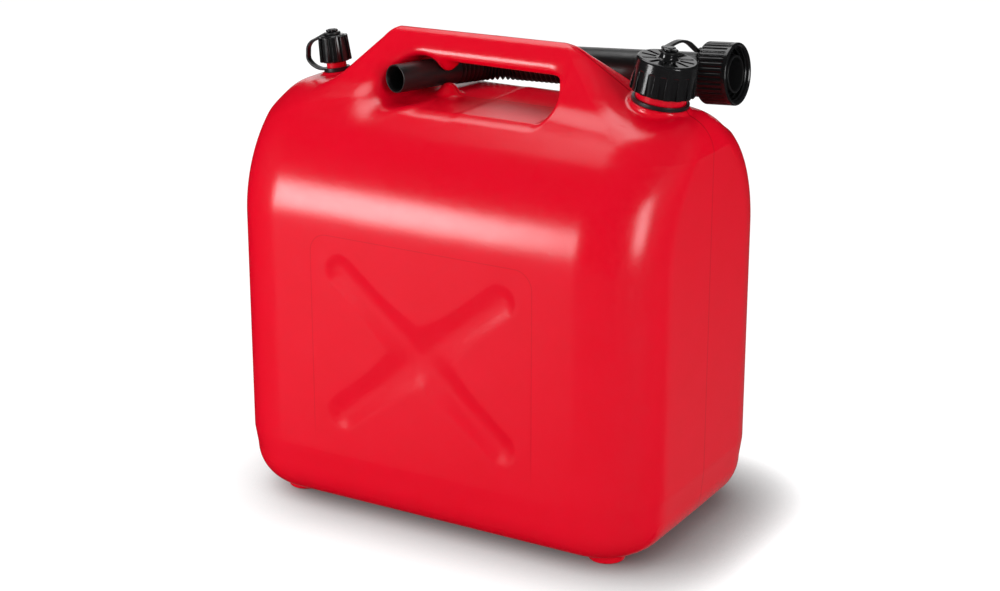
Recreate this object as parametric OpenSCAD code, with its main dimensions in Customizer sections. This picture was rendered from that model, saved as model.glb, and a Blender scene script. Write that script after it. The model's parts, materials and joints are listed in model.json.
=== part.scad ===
// Plastic fuel can with a screw filler cap, a vent cap and a flexible pouring spout stored in its handle.
// The origin is on the floor under the middle of the tank. X runs along the handle, +X towards the filler,
// and the front faces -Y.

$fn = 64;

/* [Tank] */
// Width of the tank, along the handle
tank_w = 350; // [340:1:370]
// Depth of the tank, front to back
tank_d = 219; // [212:1:230]
// Wall of the blow moulding
wall = 3; // [2:0.5:4]
// Radius of the upright corners
corner_r = 52; // [40:1:60]
// Height of the four moulded feet
foot_h = 5; // [3:0.5:8]
// Diameter of each foot
foot_d = 27; // [18:1:32]
// Distance between the feet along X
foot_span_x = 264; // [240:2:270]
// Distance between the feet along Y
foot_span_y = 134; // [110:2:140]
// Radius of the bottom edge
base_r = 31; // [20:1:36]
// Height of the crease below which the walls draw in
crease_h = 51; // [44:1:60]
// How far the walls draw in between the crease and the bottom
base_taper = 5; // [2:0.5:8]

/* [Roof and shoulders] */
// Radius of the front and back shoulders
roof_r = 92; // [80:1:100]
// Slope of the roof in degrees
roof_slope = 36; // [34:0.5:39]
// Radius of the shoulder at the filler end
filler_shoulder_r = 25; // [18:1:30]
// Radius of the shoulder at the vent end
vent_shoulder_r = 20; // [14:1:26]
// How far the platform at the foot of the handle lies below the handle's top, filler end
filler_platform_drop = 35; // [33:0.5:37]
// How far the platform at the foot of the handle lies below the handle's top, vent end
vent_platform_drop = 40; // [36:0.5:42]
// Slope of the platform at the filler end in degrees
filler_platform_slope = 3; // [2:0.5:6]
// Slope of the platform at the vent end in degrees
vent_platform_slope = 8; // [5:0.5:10]

/* [Handle] */
// Height of the handle's top
handle_h = 354; // [320:1:400]
// Length of the flat top towards the filler
handle_top_right = 64; // [58:1:72]
// Length of the flat top towards the vent
handle_top_left = 79; // [72:1:84]
// Where the handle's slope meets the platform, filler end
handle_foot_right = 118; // [108:1:120]
// Where the handle's slope meets the platform, vent end
handle_foot_left = 127; // [116:1:130]
// How far below its top the handle grows out of the roof
handle_base_drop = 29; // [26:0.5:31]
// Depth of the handle where it grows out of the roof
handle_base_depth = 60; // [54:1:66]
// How far below its top the handle has its grip depth
handle_grip_drop = 16; // [11:1:20]
// Depth of the handle at the grip
handle_grip_depth = 37; // [34:1:44]
// Depth of the handle at its top
handle_top_depth = 27; // [24:1:32]
// Rounding of the handle's top edge
handle_edge = 6; // [2:0.5:7]

/* [Grip slot] */
// How far the slot's floor lies below the handle's top
slot_floor_drop = 45.5; // [45:0.5:48]
// Height of the slot itself
slot_h = 22.5; // [21:0.5:25]
// Right end of the slot, from the middle
slot_right = 70; // [62:1:76]
// Corner radius of the slot's right end
slot_r = 10; // [6:0.5:10]
// Left end of the keyhole that holds the nozzle, from the middle
pocket_left = 78; // [77:0.5:86]
// Right end of the keyhole, from the middle
pocket_right = 37; // [30:0.5:39]
// Radius of the keyhole
pocket_r = 14; // [13.5:0.5:16.5]
// Radius of the handle bar's round underside
bar_r = 17.6; // [17:0.1:19]
// Height over which the underside of the bar is round
bar_round_h = 11; // [8:0.5:12]
// Radius of the two lugs that pinch the nozzle
lug_r = 6.5; // [5:0.5:7]
// Gap between the two lugs
lug_gap = 9.7; // [8:0.1:12]

/* [Cross recess] */
// Distance between the arm ends along X
cross_w = 134; // [100:2:140]
// Distance between the arm ends along Z
cross_h = 110; // [80:2:114]
// Height of the middle of the cross
cross_z = 141; // [132:0.5:145]
// Width of an arm
cross_arm_w = 26; // [18:1:28]
// Depth of the recess
cross_depth = 4; // [2:0.5:5]

/* [Filler neck] */
// Place of the neck along X, on the platform
filler_x = 132.5; // [131:0.5:136]
// Outward lean of the neck in degrees
filler_lean = 9.5; // [6:0.5:12]
// Height of the round pad that the neck stands on
filler_pad_h = 5; // [3:0.5:6]
// Outside diameter of the neck
filler_neck_d = 36.5; // [34:0.5:37]
// Bore of the neck
filler_bore = 30; // [27:0.5:31]
// Height of the neck above its pad
filler_neck_h = 22.7; // [21:0.1:26]
// Height of the cap's lower edge above the pad
filler_cap_gap = 6.5; // [5:0.5:7]
// Pitch of the screw thread
thread_pitch = 4; // [3:0.5:5]
// Height of the screw thread
thread_h = 1; // [0.6:0.1:1.2]

/* [Filler cap] */
// Outside diameter of the shell
cap_d = 46.5; // [46:0.5:50]
// Depth of the shell's top wall
cap_top = 2; // [1.5:0.1:3]
// Wall of the inner cap
inner_wall = 1.5; // [1.2:0.1:1.6]
// Thickness of the inner cap's top
inner_top = 2; // [1.5:0.1:3]
// Thickness of the sealing disc
gasket_t = 1.8; // [1.2:0.1:2.5]
// How far the shell can be pressed down on the inner cap
press_travel = 1.8; // [1:0.1:2.5]
// Number of grip flutes
cap_flutes = 16; // [12:1:20]
// Depth of a flute
flute_depth = 0.8; // [0.4:0.1:0.9]
// Width of a flute
flute_w = 5; // [3:0.5:6]
// Number of radial slots in the top
cap_slots = 12; // [8:1:14]
// Width of a radial slot
cap_slot_w = 2; // [1.2:0.1:2.6]

/* [Vent neck and cap] */
// Place of the vent neck along X, on the platform
vent_x = 140; // [139:0.5:142]
// Outward lean of the vent neck in degrees
vent_lean = 8; // [5:0.5:11]
// Height of the round pad that the vent neck stands on
vent_pad_h = 2; // [1:0.5:3]
// Outside diameter of the vent neck
vent_neck_d = 15; // [13:0.5:16]
// Bore of the vent neck
vent_bore = 10; // [8:0.5:11]
// Height of the vent neck above its pad
vent_neck_h = 24; // [22:0.5:28]
// Height of the vent cap's lower edge above the pad
vent_cap_gap = 8.5; // [6:0.5:9]
// Outside diameter of the vent cap over its ribs
vent_cap_d = 25; // [23:0.5:27]
// Thickness of the vent cap's top
vent_cap_top = 3; // [2:0.5:4]
// Number of ribs on the vent cap
vent_ribs = 10; // [8:1:12]
// Width of a rib
vent_rib_w = 3.2; // [2:0.1:4]

/* [Tethers] */
// Width of a strap
strap_w = 4; // [3:0.5:4.5]
// Thickness of a strap
strap_t = 1.6; // [1.2:0.1:2]
// Height of a tether's ring on the neck
ring_h = 3; // [2:0.5:4]
// Wall of a tether's ring
ring_wall = 2.2; // [1.8:0.1:3]
// Thickness of a tether's eye
eye_t = 1.6; // [1.2:0.1:2.2]
// Diameter of the stud that holds an eye
stud_d = 6; // [5:0.5:7]
// Wall of an eye
eye_wall = 3; // [2.4:0.1:3.2]
// Height of the boss under the filler strap's eye
filler_boss_h = 3; // [1:0.5:4]
// Height of the boss under the vent strap's eye
vent_boss_h = 0.5; // [0.5:0.5:2]
// Height of a stud's lobed head
head_h = 1.8; // [1.2:0.1:2.5]
// Distance of the filler strap's loop from the middle of the stored tube, below it
strap_hug_r = 17.5; // [16.5:0.5:19]
// Distance of the filler strap's loop from the middle of the stored tube, above it
strap_loop_r = 22.5; // [21:0.5:24]
// How far the vent strap bows out from its neck
vent_strap_bow = 26; // [24:0.5:30]

/* [Spout] */
// Place along X where the bend ends and the straight tube starts
spout_x = -14.5; // [-16:0.5:-14]
// Depth of the stored tube behind the middle of the can
spout_y = 62.5; // [62:0.5:66]
// How far the stored spout, at the end of its bend, lies below the handle's top
spout_drop = 32; // [30:0.5:32.5]
// Rise of the stored tube in degrees
spout_rise = 4; // [3:0.5:5]
// Roll of the stored spout about its tube in degrees, which lifts the nozzle
spout_roll = 3; // [2:0.5:4]
// Angle between the nozzle and the tube in degrees
spout_bend = 74; // [72:0.5:76]
// Radius of the bend
spout_bend_r = 30; // [29:0.5:32]
// Outside diameter of the nozzle
nozzle_d = 21; // [19:0.5:21]
// Wall of the nozzle and of the spigot
nozzle_wall = 1.7; // [1.2:0.1:2.2]
// Length of the smooth nozzle
nozzle_len = 58; // [56:1:70]
// Outside diameter of the bellows at the nozzle, over its ribs
bellows_d1 = 23; // [21:0.5:24]
// Outside diameter of the bellows at the tube, over its ribs
bellows_d2 = 29; // [26:0.5:30]
// Depth of the grooves between the ribs
bellows_groove = 2.2; // [1.5:0.1:2.5]
// Number of ribs
bellows_ribs = 25; // [18:1:32]
// Length of the bellows between the bend and the tube
bellows_run = 46; // [30:1:60]
// Outside diameter of the rear tube
tube_d = 29; // [26:0.5:29]
// Bore of the rear tube
tube_bore = 23; // [20:0.5:24]
// Length from the end of the bend to the collar's rim
collar_reach = 179.5; // [176:0.5:183]
// Outside diameter of the collar
collar_d = 44; // [43:0.5:45.5]
// Length of the collar
collar_len = 24.5; // [22:0.5:26]
// Thickness of the collar's back wall
collar_back = 3; // [2:0.5:4]
// Number of grip ribs on the collar
collar_ribs = 36; // [24:1:40]
// Diameter of the flange that the collar pulls on
flange_d = 36; // [34:0.5:38]
// Thickness of the flange
flange_t = 2.5; // [2:0.1:3.5]
// Diameter of the spigot that enters the neck
spigot_d = 24.6; // [22:0.1:26]
// How far the spigot's end lies inside the collar's rim
spigot_inset = 2; // [1:0.5:5]
// Thickness of the flat sealing ring on the flange
spout_gasket_t = 2; // [1.5:0.1:3]

/* [Fits] */
// Clearance between pieces that turn or slide on each other
fit = 0.3; // [0.25:0.05:0.4]

/* [Hidden] */

// How many steps a rounded corner of the outer skin takes, and one of the cavity
skin_steps = 8;
cavity_steps = 4;
// The largest share of the half depth that a corner's radius takes, outside and in the cavity
corner_share = 0.88;
cavity_share = 0.95;
// How much of the handle's flare is left half way up it
flare_left = 0.25;
// Rings closer than this are merged
min_step = 0.4;
// Past this a cut runs clear of what it cuts
clear = 1;

// Heights of the platforms, the handle, the slot and the stored spout, all measured down from the handle's top
filler_platform_h = handle_h - filler_platform_drop;
vent_platform_h = handle_h - vent_platform_drop;
handle_base_h = handle_h - handle_base_drop;
handle_grip_h = handle_h - handle_grip_drop;
slot_floor_h = handle_h - slot_floor_drop;
spout_z = handle_h - spout_drop;

// The bottom plane, and the half width of the walls where the bottom edge ends
base_h = foot_h;
edge_h = base_h + base_r;
function drawn_in(z) = z >= crease_h ? 0 : base_taper * (crease_h - z) / (crease_h - base_h);
function edge_inset(z) = z >= edge_h ? 0 : base_r - sqrt(max(0, pow(base_r, 2) - pow(edge_h - z, 2)));
function low_inset(z) = drawn_in(max(z, edge_h)) + edge_inset(max(z, base_h));

// End walls: upright, then a shoulder arc, then the platform, then the slope of the handle
function shoulder_top(r, slope, foot, h) =
    h - (tank_w / 2 - r + r * sin(slope) - foot) * tan(slope);
function shoulder_start(r, slope, foot, h) = shoulder_top(r, slope, foot, h) - r * cos(slope);
function end_half(z, r, slope, foot, h, top) =
    let (arc_top = shoulder_top(r, slope, foot, h), arc_start = shoulder_start(r, slope, foot, h))
    z <= arc_start ? tank_w / 2 - low_inset(z) :
    z <= arc_top ? tank_w / 2 - r + sqrt(max(0, pow(r, 2) - pow(z - arc_start, 2))) :
    z <= h ? foot + (h - z) / tan(slope) :
    z <= handle_h - handle_edge ? foot - (z - h) * (foot - top) / (handle_h - h) :
    end_half(handle_h - handle_edge, r, slope, foot, h, top) - edge_round(z);
function edge_round(z) = handle_edge - sqrt(max(0, pow(handle_edge, 2) - pow(z - handle_h + handle_edge, 2)));
function half_right(z) = end_half(z, filler_shoulder_r, filler_platform_slope, handle_foot_right,
    filler_platform_h, handle_top_right);
function half_left(z) = end_half(z, vent_shoulder_r, vent_platform_slope, handle_foot_left,
    vent_platform_h, handle_top_left);

// Front and back: upright, then the roof arc, then the roof plane, then the sides of the handle
roof_arc_y = tank_d / 2 - roof_r + roof_r * sin(roof_slope);
roof_arc_top = handle_base_h - (roof_arc_y - handle_base_depth / 2) * tan(roof_slope);
roof_arc_start = roof_arc_top - roof_r * cos(roof_slope);
function half_depth(z) =
    z <= roof_arc_start ? tank_d / 2 - low_inset(z) :
    z <= roof_arc_top ? tank_d / 2 - roof_r + sqrt(max(0, pow(roof_r, 2) - pow(z - roof_arc_start, 2))) :
    z <= handle_base_h ? handle_base_depth / 2 + (handle_base_h - z) / tan(roof_slope) :
    z <= handle_h - handle_edge ? handle_side(z) :
    handle_side(handle_h - handle_edge) - edge_round(z);
handle_waist = handle_grip_depth + (handle_base_depth - handle_grip_depth) * flare_left;
function handle_side(z) = lookup(z, [
    [handle_base_h, handle_base_depth / 2],
    [(handle_base_h + handle_grip_h) / 2, handle_waist / 2],
    [handle_grip_h, handle_grip_depth / 2],
    [handle_h, handle_top_depth / 2]]);
function ring_corner(z) = min(corner_r - edge_inset(max(z, base_h)), corner_share * half_depth(z));

// A closed skin from stacked rounded rectangles; inset moves it inwards by a wall
function ring(z, inset, steps) =
    let (
        right = min(half_right(z - inset), half_right(z + inset)) - inset,
        left = min(half_left(z - inset), half_left(z + inset)) - inset,
        deep = min(half_depth(z - inset), half_depth(z + inset)) - inset,
        r = min(max(1, ring_corner(z + inset) - inset), cavity_share * deep)
    )
    [for (corner = [0 : 3]) for (i = [0 : steps])
        let (
            a = 90 * corner + 90 * i / steps,
            cx = (corner == 0 || corner == 3) ? right - r : r - left,
            cy = corner < 2 ? deep - r : r - deep
        )
        [cx + r * cos(a), cy + r * sin(a), z]];
function sorted(v) = len(v) < 2 ? v :
    let (p = v[floor(len(v) / 2)])
    concat(sorted([for (x = v) if (x < p) x]), [p], sorted([for (x = v) if (x > p) x]));
function spaced(v, gap) = [for (i = [0 : len(v) - 1]) if (i == 0 || v[i] - v[i - 1] >= gap) v[i]];
filler_shoulder_h =
    shoulder_start(filler_shoulder_r, filler_platform_slope, handle_foot_right, filler_platform_h);
vent_shoulder_h = shoulder_start(vent_shoulder_r, vent_platform_slope, handle_foot_left, vent_platform_h);
function skin_heights(n) = concat(
    [for (i = [0 : n]) base_h + base_r * (1 - cos(90 * i / n))],
    [crease_h],
    [for (i = [0 : n + 2]) roof_arc_start + roof_r * sin((90 - roof_slope) * i / (n + 2))],
    [for (i = [0 : n]) filler_shoulder_h + filler_shoulder_r * sin((90 - filler_platform_slope) * i / n)],
    [for (i = [0 : n]) vent_shoulder_h + vent_shoulder_r * sin((90 - vent_platform_slope) * i / n)],
    [vent_platform_h, filler_platform_h, handle_base_h, (handle_base_h + handle_grip_h) / 2, handle_grip_h],
    [for (i = [0 : n]) handle_h - handle_edge + handle_edge * sin(90 * i / n)]);
module skin(inset, n, steps) {
    low = base_h + inset;
    high = handle_h - inset;
    zs = concat([low], [for (z = spaced(sorted(skin_heights(n)), min_step))
        if (z > low + min_step && z < high - min_step) z], [high]);
    rings = [for (z = zs) ring(z, inset, steps)];
    m = len(rings[0]);
    last = len(zs) - 1;
    polyhedron(
        points = [for (r = rings) for (p = r) p],
        faces = concat(
            [[for (i = [0 : m - 1]) i]],
            [[for (i = [m - 1 : -1 : 0]) last * m + i]],
            [for (k = [0 : last - 1]) for (i = [0 : m - 1])
                let (j = (i + 1) % m)
                each [
                    [k * m + i, (k + 1) * m + i, (k + 1) * m + j],
                    [k * m + i, (k + 1) * m + j, k * m + j]]]),
        convexity = 8);
}

// The spout's own frame: its tube runs along x and its bend lies in the xy plane
module spout_frame() {
    translate([spout_x, spout_y, spout_z]) rotate([0, -spout_rise, 0]) rotate([-spout_roll, 0, 0]) children();
}
function turned(p) =
    let (lift = -p[1] * sin(spout_roll))
    [
        p[0] * cos(spout_rise) - lift * sin(spout_rise),
        p[1] * cos(spout_roll),
        p[0] * sin(spout_rise) + lift * cos(spout_rise)];
// Along the tube: where the collar starts, where the flange sits in it and where the spigot ends
collar_at = collar_reach - collar_len;
flange_at = collar_at + collar_back + fit;
spigot_end = collar_reach - spigot_inset;
// The bellows leaves the nozzle straight for one nozzle diameter
nozzle_run = nozzle_d;
bend_start = [-spout_bend_r * sin(spout_bend), -spout_bend_r * (1 - cos(spout_bend))];
nozzle_dir = [-cos(spout_bend), -sin(spout_bend)];
nozzle_end = bend_start + nozzle_run * nozzle_dir;
nozzle_tip = nozzle_end + nozzle_len * nozzle_dir;
// Where the nozzle's axis crosses the middle plane of the can
nozzle_mid = nozzle_tip + nozzle_dir * (-spout_y - nozzle_tip[1]) / nozzle_dir[1];
nozzle_at = [spout_x, spout_y, spout_z] + turned(nozzle_mid);
nozzle_slant = turned(nozzle_dir);

// The lugs face each other across the nozzle's height, just clear of its flank
lug_mid = nozzle_at[2] - 1;
lug_high = lug_gap / 2 + lug_r;
lug_reach = nozzle_d / 2 + lug_r + fit;
lug_dz = lug_mid + lug_high - nozzle_at[2];
lug_x = nozzle_at[0] + sqrt((pow(lug_reach, 2) - pow(lug_dz, 2)) / (1 - pow(nozzle_slant[0], 2)));

module slot_outline(grow) {
    top = slot_floor_h + slot_h;
    left = -pocket_right;
    r = min(slot_r, slot_h / 2) + grow;
    pocket_z = nozzle_at[2];
    pocket_a = pocket_r - pocket_left;
    pocket_b = -pocket_right - pocket_r;
    translate([left - grow, slot_floor_h - grow])
        square([slot_right - left - r + 2 * grow, slot_h + 2 * grow]);
    translate([0, slot_floor_h - grow + r]) square([slot_right + grow, slot_h + 2 * grow - 2 * r]);
    for (z = [slot_floor_h - grow + r, top + grow - r]) translate([slot_right + grow - r, z]) circle(r);
    for (x = [pocket_a, pocket_b]) translate([x, pocket_z]) circle(pocket_r + grow);
    translate([pocket_a, pocket_z - pocket_r - grow]) square([pocket_b - pocket_a, 2 * (pocket_r + grow)]);
    translate([pocket_b, slot_floor_h - grow]) square([left - pocket_b, slot_h + 2 * grow]);
}
module slot(grow) {
    rotate([90, 0, 0]) linear_extrude(tank_d, center = true) slot_outline(grow);
}
// The underside of the handle bar is round: what lies outside its cylinder is cut away beside the slot
module bar_relief(grow) {
    top = slot_floor_h + slot_h;
    from = pocket_r - pocket_left - grow;
    to = slot_right - slot_r + grow;
    difference() {
        translate([from, -tank_d / 2, top - grow]) cube([to - from, tank_d, bar_round_h + 2 * grow]);
        translate([from - clear, 0, top + bar_r]) rotate([0, 90, 0])
            cylinder(r = bar_r - grow, h = to - from + 2 * clear);
    }
}
module lugs() {
    for (side = [-1, 1]) translate([lug_x, 0, lug_mid + side * lug_high]) sphere(lug_r);
}

// The cross on the front and back: round-bottomed arms that end in a ball
cross_r = (pow(cross_arm_w / 2, 2) + pow(cross_depth, 2)) / (2 * cross_depth);
cross_len = sqrt(pow(cross_w, 2) + pow(cross_h, 2));
cross_angle = atan2(cross_w, cross_h);
module crosses(grow) {
    for (face = [-1, 1])
        for (lean = [-cross_angle, cross_angle])
            translate([0, face * (tank_d / 2 + cross_r - cross_depth), cross_z]) rotate([0, lean, 0]) {
                cylinder(r = cross_r + grow, h = cross_len, center = true);
                for (end = [-1, 1]) translate([0, 0, end * cross_len / 2]) sphere(cross_r + grow);
            }
}

// Necks: each stands on a round pad, square to its own leaning axis
pad_depth = 9;
filler_pad_z = filler_platform_h - (filler_x - handle_foot_right) * tan(filler_platform_slope);
vent_pad_z = vent_platform_h - (vent_x - handle_foot_left) * tan(vent_platform_slope);
module filler_frame() {
    translate([filler_x, 0, filler_pad_z]) rotate([0, filler_lean, 0])
        translate([0, 0, filler_pad_h]) children();
}
module vent_frame() {
    translate([-vent_x, 0, vent_pad_z]) rotate([0, -vent_lean, 0])
        translate([0, 0, vent_pad_h]) children();
}
pad_rim = 1;
filler_pad_d = filler_neck_d + 2 * (fit + ring_wall + pad_rim);
vent_pad_d = vent_neck_d + 2 * (fit + ring_wall + pad_rim);
neck_sink = wall + pad_depth;
module neck_solid(neck_d, neck_h, pad_d) {
    translate([0, 0, -pad_depth]) cylinder(d = pad_d, h = pad_depth);
    translate([0, 0, -pad_depth]) cylinder(d = neck_d, h = pad_depth + neck_h);
}
module neck_cut(bore, neck_h) {
    translate([0, 0, -2 * neck_sink]) cylinder(d = bore, h = 2 * neck_sink + neck_h + clear);
}

// A screw thread: a ridge that winds up round a neck of radius r, sunk a little into it
thread_steps = 24;
thread_turns = 2;
thread_sink = 0.4;
// Pitches between the middle of the thread's upper end and the rim
thread_free = 0.6;
function thread_section(r, w) =
    [[r - thread_sink, -w / 2], [r + thread_h, -w / 6], [r + thread_h, w / 6], [r - thread_sink, w / 2]];
module thread(r, turns) {
    n = round(turns * thread_steps);
    w = thread_pitch / 2;
    points = [for (k = [0 : n]) for (p = thread_section(r, w))
        [p[0] * cos(360 * k / thread_steps), p[0] * sin(360 * k / thread_steps),
            p[1] + thread_pitch * k / thread_steps]];
    polyhedron(points, concat(
        [[0, 1, 2], [0, 2, 3]],
        [[4 * n + 2, 4 * n + 1, 4 * n], [4 * n + 3, 4 * n + 2, 4 * n]],
        [for (k = [0 : n - 1]) for (i = [0 : 3])
            let (j = (i + 1) % 4)
            each [[4 * k + i, 4 * k + 4 + i, 4 * k + 4 + j], [4 * k + i, 4 * k + 4 + j, 4 * k + j]]]),
        convexity = 6);
}
module neck_thread(neck_d, neck_h) {
    translate([0, 0, neck_h - thread_pitch * (thread_turns + thread_free)]) thread(neck_d / 2, thread_turns);
}

module feet() {
    for (x = [-1, 1])
        for (y = [-1, 1])
            translate([x * foot_span_x / 2, y * foot_span_y / 2, 0]) cylinder(d = foot_d, h = foot_h + wall);
}

module tank_cavity() {
    difference() {
        skin(wall, 4, cavity_steps);
        slot(wall);
        bar_relief(wall);
        crosses(wall);
    }
}
module tank() {
    color("red") union() {
        difference() {
            union() {
                skin(0, 6, skin_steps);
                feet();
                filler_frame() neck_solid(filler_neck_d, filler_neck_h, filler_pad_d);
                vent_frame() neck_solid(vent_neck_d, vent_neck_h, vent_pad_d);
            }
            tank_cavity();
            slot(0);
            bar_relief(0);
            crosses(0);
            filler_frame() neck_cut(filler_bore, filler_neck_h);
            vent_frame() neck_cut(vent_bore, vent_neck_h);
        }
        lugs();
        filler_frame() neck_thread(filler_neck_d, filler_neck_h);
        vent_frame() neck_thread(vent_neck_d, vent_neck_h);
    }
}

// Filler cap, along the neck's axis from the pad: gasket on the rim, inner cap over it, shell over that
inner_bore = filler_neck_d + 2 * thread_h + 2 * fit;
inner_d = inner_bore + 2 * inner_wall;
inner_top_at = filler_neck_h + gasket_t + inner_top;
lip_h = 2;
// How far the radial slots stay from the boss, and half as far as from the edge
slot_margin = 1.5;
// Share of the shell's height that the flutes run up
flute_share = 0.68;
inner_skirt_at = filler_cap_gap + lip_h;
shell_bore = inner_d + 2 * fit;
shell_ceiling = inner_top_at + press_travel + fit;
shell_top_at = shell_ceiling + cap_top;
eye_at = shell_top_at + filler_boss_h;
eye_play = 0.4;
eye_d = stud_d + 2 * fit + 2 * eye_wall;
lobe_d = 0.8 * stud_d;
module stud(base, h) {
    translate([0, 0, base]) cylinder(d = eye_d, h = h);
    translate([0, 0, base]) cylinder(d = stud_d, h = h + eye_t + eye_play + head_h);
    for (a = [0 : 90 : 270])
        rotate([0, 0, a]) translate([stud_d / 2, 0, base + h + eye_t + eye_play])
            cylinder(d = lobe_d, h = head_h);
}
module filler_cap_shell() {
    slot_in = eye_d / 2 + slot_margin;
    slot_out = cap_d / 2 - 2 * slot_margin;
    flute_at = cap_d / 2 - flute_depth + (pow(flute_w / 2, 2) + pow(flute_depth, 2)) / (2 * flute_depth);
    flute_r = flute_at - cap_d / 2 + flute_depth;
    flute_top = filler_cap_gap + flute_share * (shell_top_at - filler_cap_gap);
    color("#18181a") filler_frame() {
        difference() {
            translate([0, 0, filler_cap_gap]) cylinder(d = cap_d, h = shell_top_at - filler_cap_gap);
            translate([0, 0, filler_cap_gap - clear]) cylinder(d = inner_bore, h = lip_h + 2 * clear);
            translate([0, 0, inner_skirt_at]) cylinder(d = shell_bore, h = shell_ceiling - inner_skirt_at);
            for (i = [0 : cap_flutes - 1])
                rotate([0, 0, 360 * i / cap_flutes]) translate([flute_at, 0, filler_cap_gap - clear])
                    cylinder(r = flute_r, h = flute_top - filler_cap_gap + clear);
            for (i = [0 : cap_slots - 1])
                rotate([0, 0, 360 * (i + 0.5) / cap_slots])
                    translate([slot_in, -cap_slot_w / 2, shell_top_at - cap_top / 2])
                        cube([slot_out - slot_in, cap_slot_w, cap_top]);
        }
        stud(shell_top_at, filler_boss_h);
    }
}
module filler_cap_inner() {
    color("#26262a") filler_frame() difference() {
        translate([0, 0, inner_skirt_at]) cylinder(d = inner_d, h = inner_top_at - inner_skirt_at);
        translate([0, 0, inner_skirt_at - clear])
            cylinder(d = inner_bore, h = inner_top_at - inner_top - inner_skirt_at + clear);
    }
}
module filler_cap_gasket() {
    color("#3a3a3a") filler_frame() translate([0, 0, filler_neck_h])
        cylinder(d = inner_bore - 2 * fit, h = gasket_t);
}

// Tethers: a ring that rests on the pad, an eye on the stud and a strap between them
module strap_ring(neck_d) {
    difference() {
        cylinder(d = neck_d + 2 * fit + 2 * ring_wall, h = ring_h);
        translate([0, 0, -clear]) cylinder(d = neck_d + 2 * fit, h = ring_h + 2 * clear);
    }
}
module strap_eye(at) {
    translate([0, 0, at]) difference() {
        cylinder(d = eye_d, h = eye_t);
        translate([0, 0, -clear]) cylinder(d = stud_d + 2 * fit, h = eye_t + 2 * clear);
    }
}
// A strap is an extruded band whose middle line is a smooth curve through its points
strap_steps = 6;
function spline(p, i, t) =
    let (a = p[max(i - 1, 0)], b = p[i], c = p[i + 1], d = p[min(i + 2, len(p) - 1)])
    0.5 * (2 * b + (c - a) * t + (2 * a - 5 * b + 4 * c - d) * t * t + (3 * b - a - 3 * c + d) * t * t * t);
function curve(p) = concat(
    [for (i = [0 : len(p) - 2]) for (k = [0 : strap_steps - 1]) spline(p, i, k / strap_steps)],
    [p[len(p) - 1]]);
function side_of(c, i, d) =
    let (v = c[min(i + 1, len(c) - 1)] - c[max(i - 1, 0)])
    c[i] + d * [-v[1], v[0]] / norm(v);
module band(points) {
    c = curve(points);
    polygon(concat([for (i = [0 : len(c) - 1]) side_of(c, i, strap_t / 2)],
        [for (i = [len(c) - 1 : -1 : 0]) side_of(c, i, -strap_t / 2)]));
}
function along_filler(s, out) = [
    filler_x + (filler_pad_h + s) * sin(filler_lean) + out * cos(filler_lean),
    filler_pad_z + (filler_pad_h + s) * cos(filler_lean) - out * sin(filler_lean)];
function along_vent(s, out) = [
    -vent_x - (vent_pad_h + s) * sin(vent_lean) - out * cos(vent_lean),
    vent_pad_z + (vent_pad_h + s) * cos(vent_lean) - out * sin(vent_lean)];
module filler_strap_ring() {
    color("#202022") filler_frame() strap_ring(filler_neck_d);
}
module filler_strap_eye() {
    color("#202022") filler_frame() strap_eye(eye_at);
}
// The filler strap stands in a plane across the can, just short of the collar, and goes round the stored tube
strap_lead = 0.5;
strap_gap = 0.6;
collar_back_x = spout_x + collar_at * cos(spout_rise) - collar_d / 2 * sin(spout_rise);
filler_strap_x = collar_back_x - strap_gap - strap_w / 2;
function filler_level(s) =
    let (mid = along_filler(s, 0))
    mid[1] - (filler_strap_x - mid[0]) * sin(filler_lean);
filler_ring_z = filler_level(ring_h / 2);
filler_eye_z = filler_level(eye_at + eye_t / 2);
filler_ring_r = filler_neck_d / 2 + fit + ring_wall;
tube_mid = [spout_y, spout_z + (filler_strap_x - spout_x) * tan(spout_rise)];
// The loop's angles round the tube, from its underside over the back to its top
loop_from = -135;
loop_to = 105;
loop_step = 30;
// How far the strap climbs between the eye and the top of its loop
strap_climb = 4;
strap_start = 1;
// How far a strap runs straight out from its ring and its eye
strap_run = 3;
module filler_strap() {
    ring_reach = sqrt(pow(filler_ring_r, 2) - pow(strap_w, 2));
    function loop_r(a) = strap_hug_r + (strap_loop_r - strap_hug_r) * (a - loop_from) / (loop_to - loop_from);
    route = concat(
        [[ring_reach, filler_ring_z], [filler_ring_r + strap_w, filler_ring_z]],
        [for (a = [loop_from : loop_step : loop_to]) tube_mid + loop_r(a) * [cos(a), sin(a)]],
        [[tube_mid[0] / 2, filler_eye_z + strap_climb],
            [eye_d / 2 + strap_run, filler_eye_z + strap_start],
            [0, filler_eye_z]]);
    color("#202022") difference() {
        translate([filler_strap_x - strap_w / 2, 0, 0]) rotate([90, 0, 90])
            linear_extrude(strap_w) band(route);
        filler_frame() translate([0, 0, -clear]) cylinder(r = filler_ring_r, h = ring_h + 2 * clear);
        filler_frame() translate([0, 0, eye_at - clear]) cylinder(d = eye_d, h = eye_t + 2 * clear);
    }
}
module vent_strap_ring() {
    color("#202022") vent_frame() strap_ring(vent_neck_d);
}

// Vent cap
vent_cap_bore = vent_neck_d + 2 * thread_h + 2 * fit;
vent_top_at = vent_neck_h + gasket_t + vent_cap_top;
vent_eye_at = vent_top_at + vent_boss_h;
vent_rib_h = 1.4;
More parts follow.
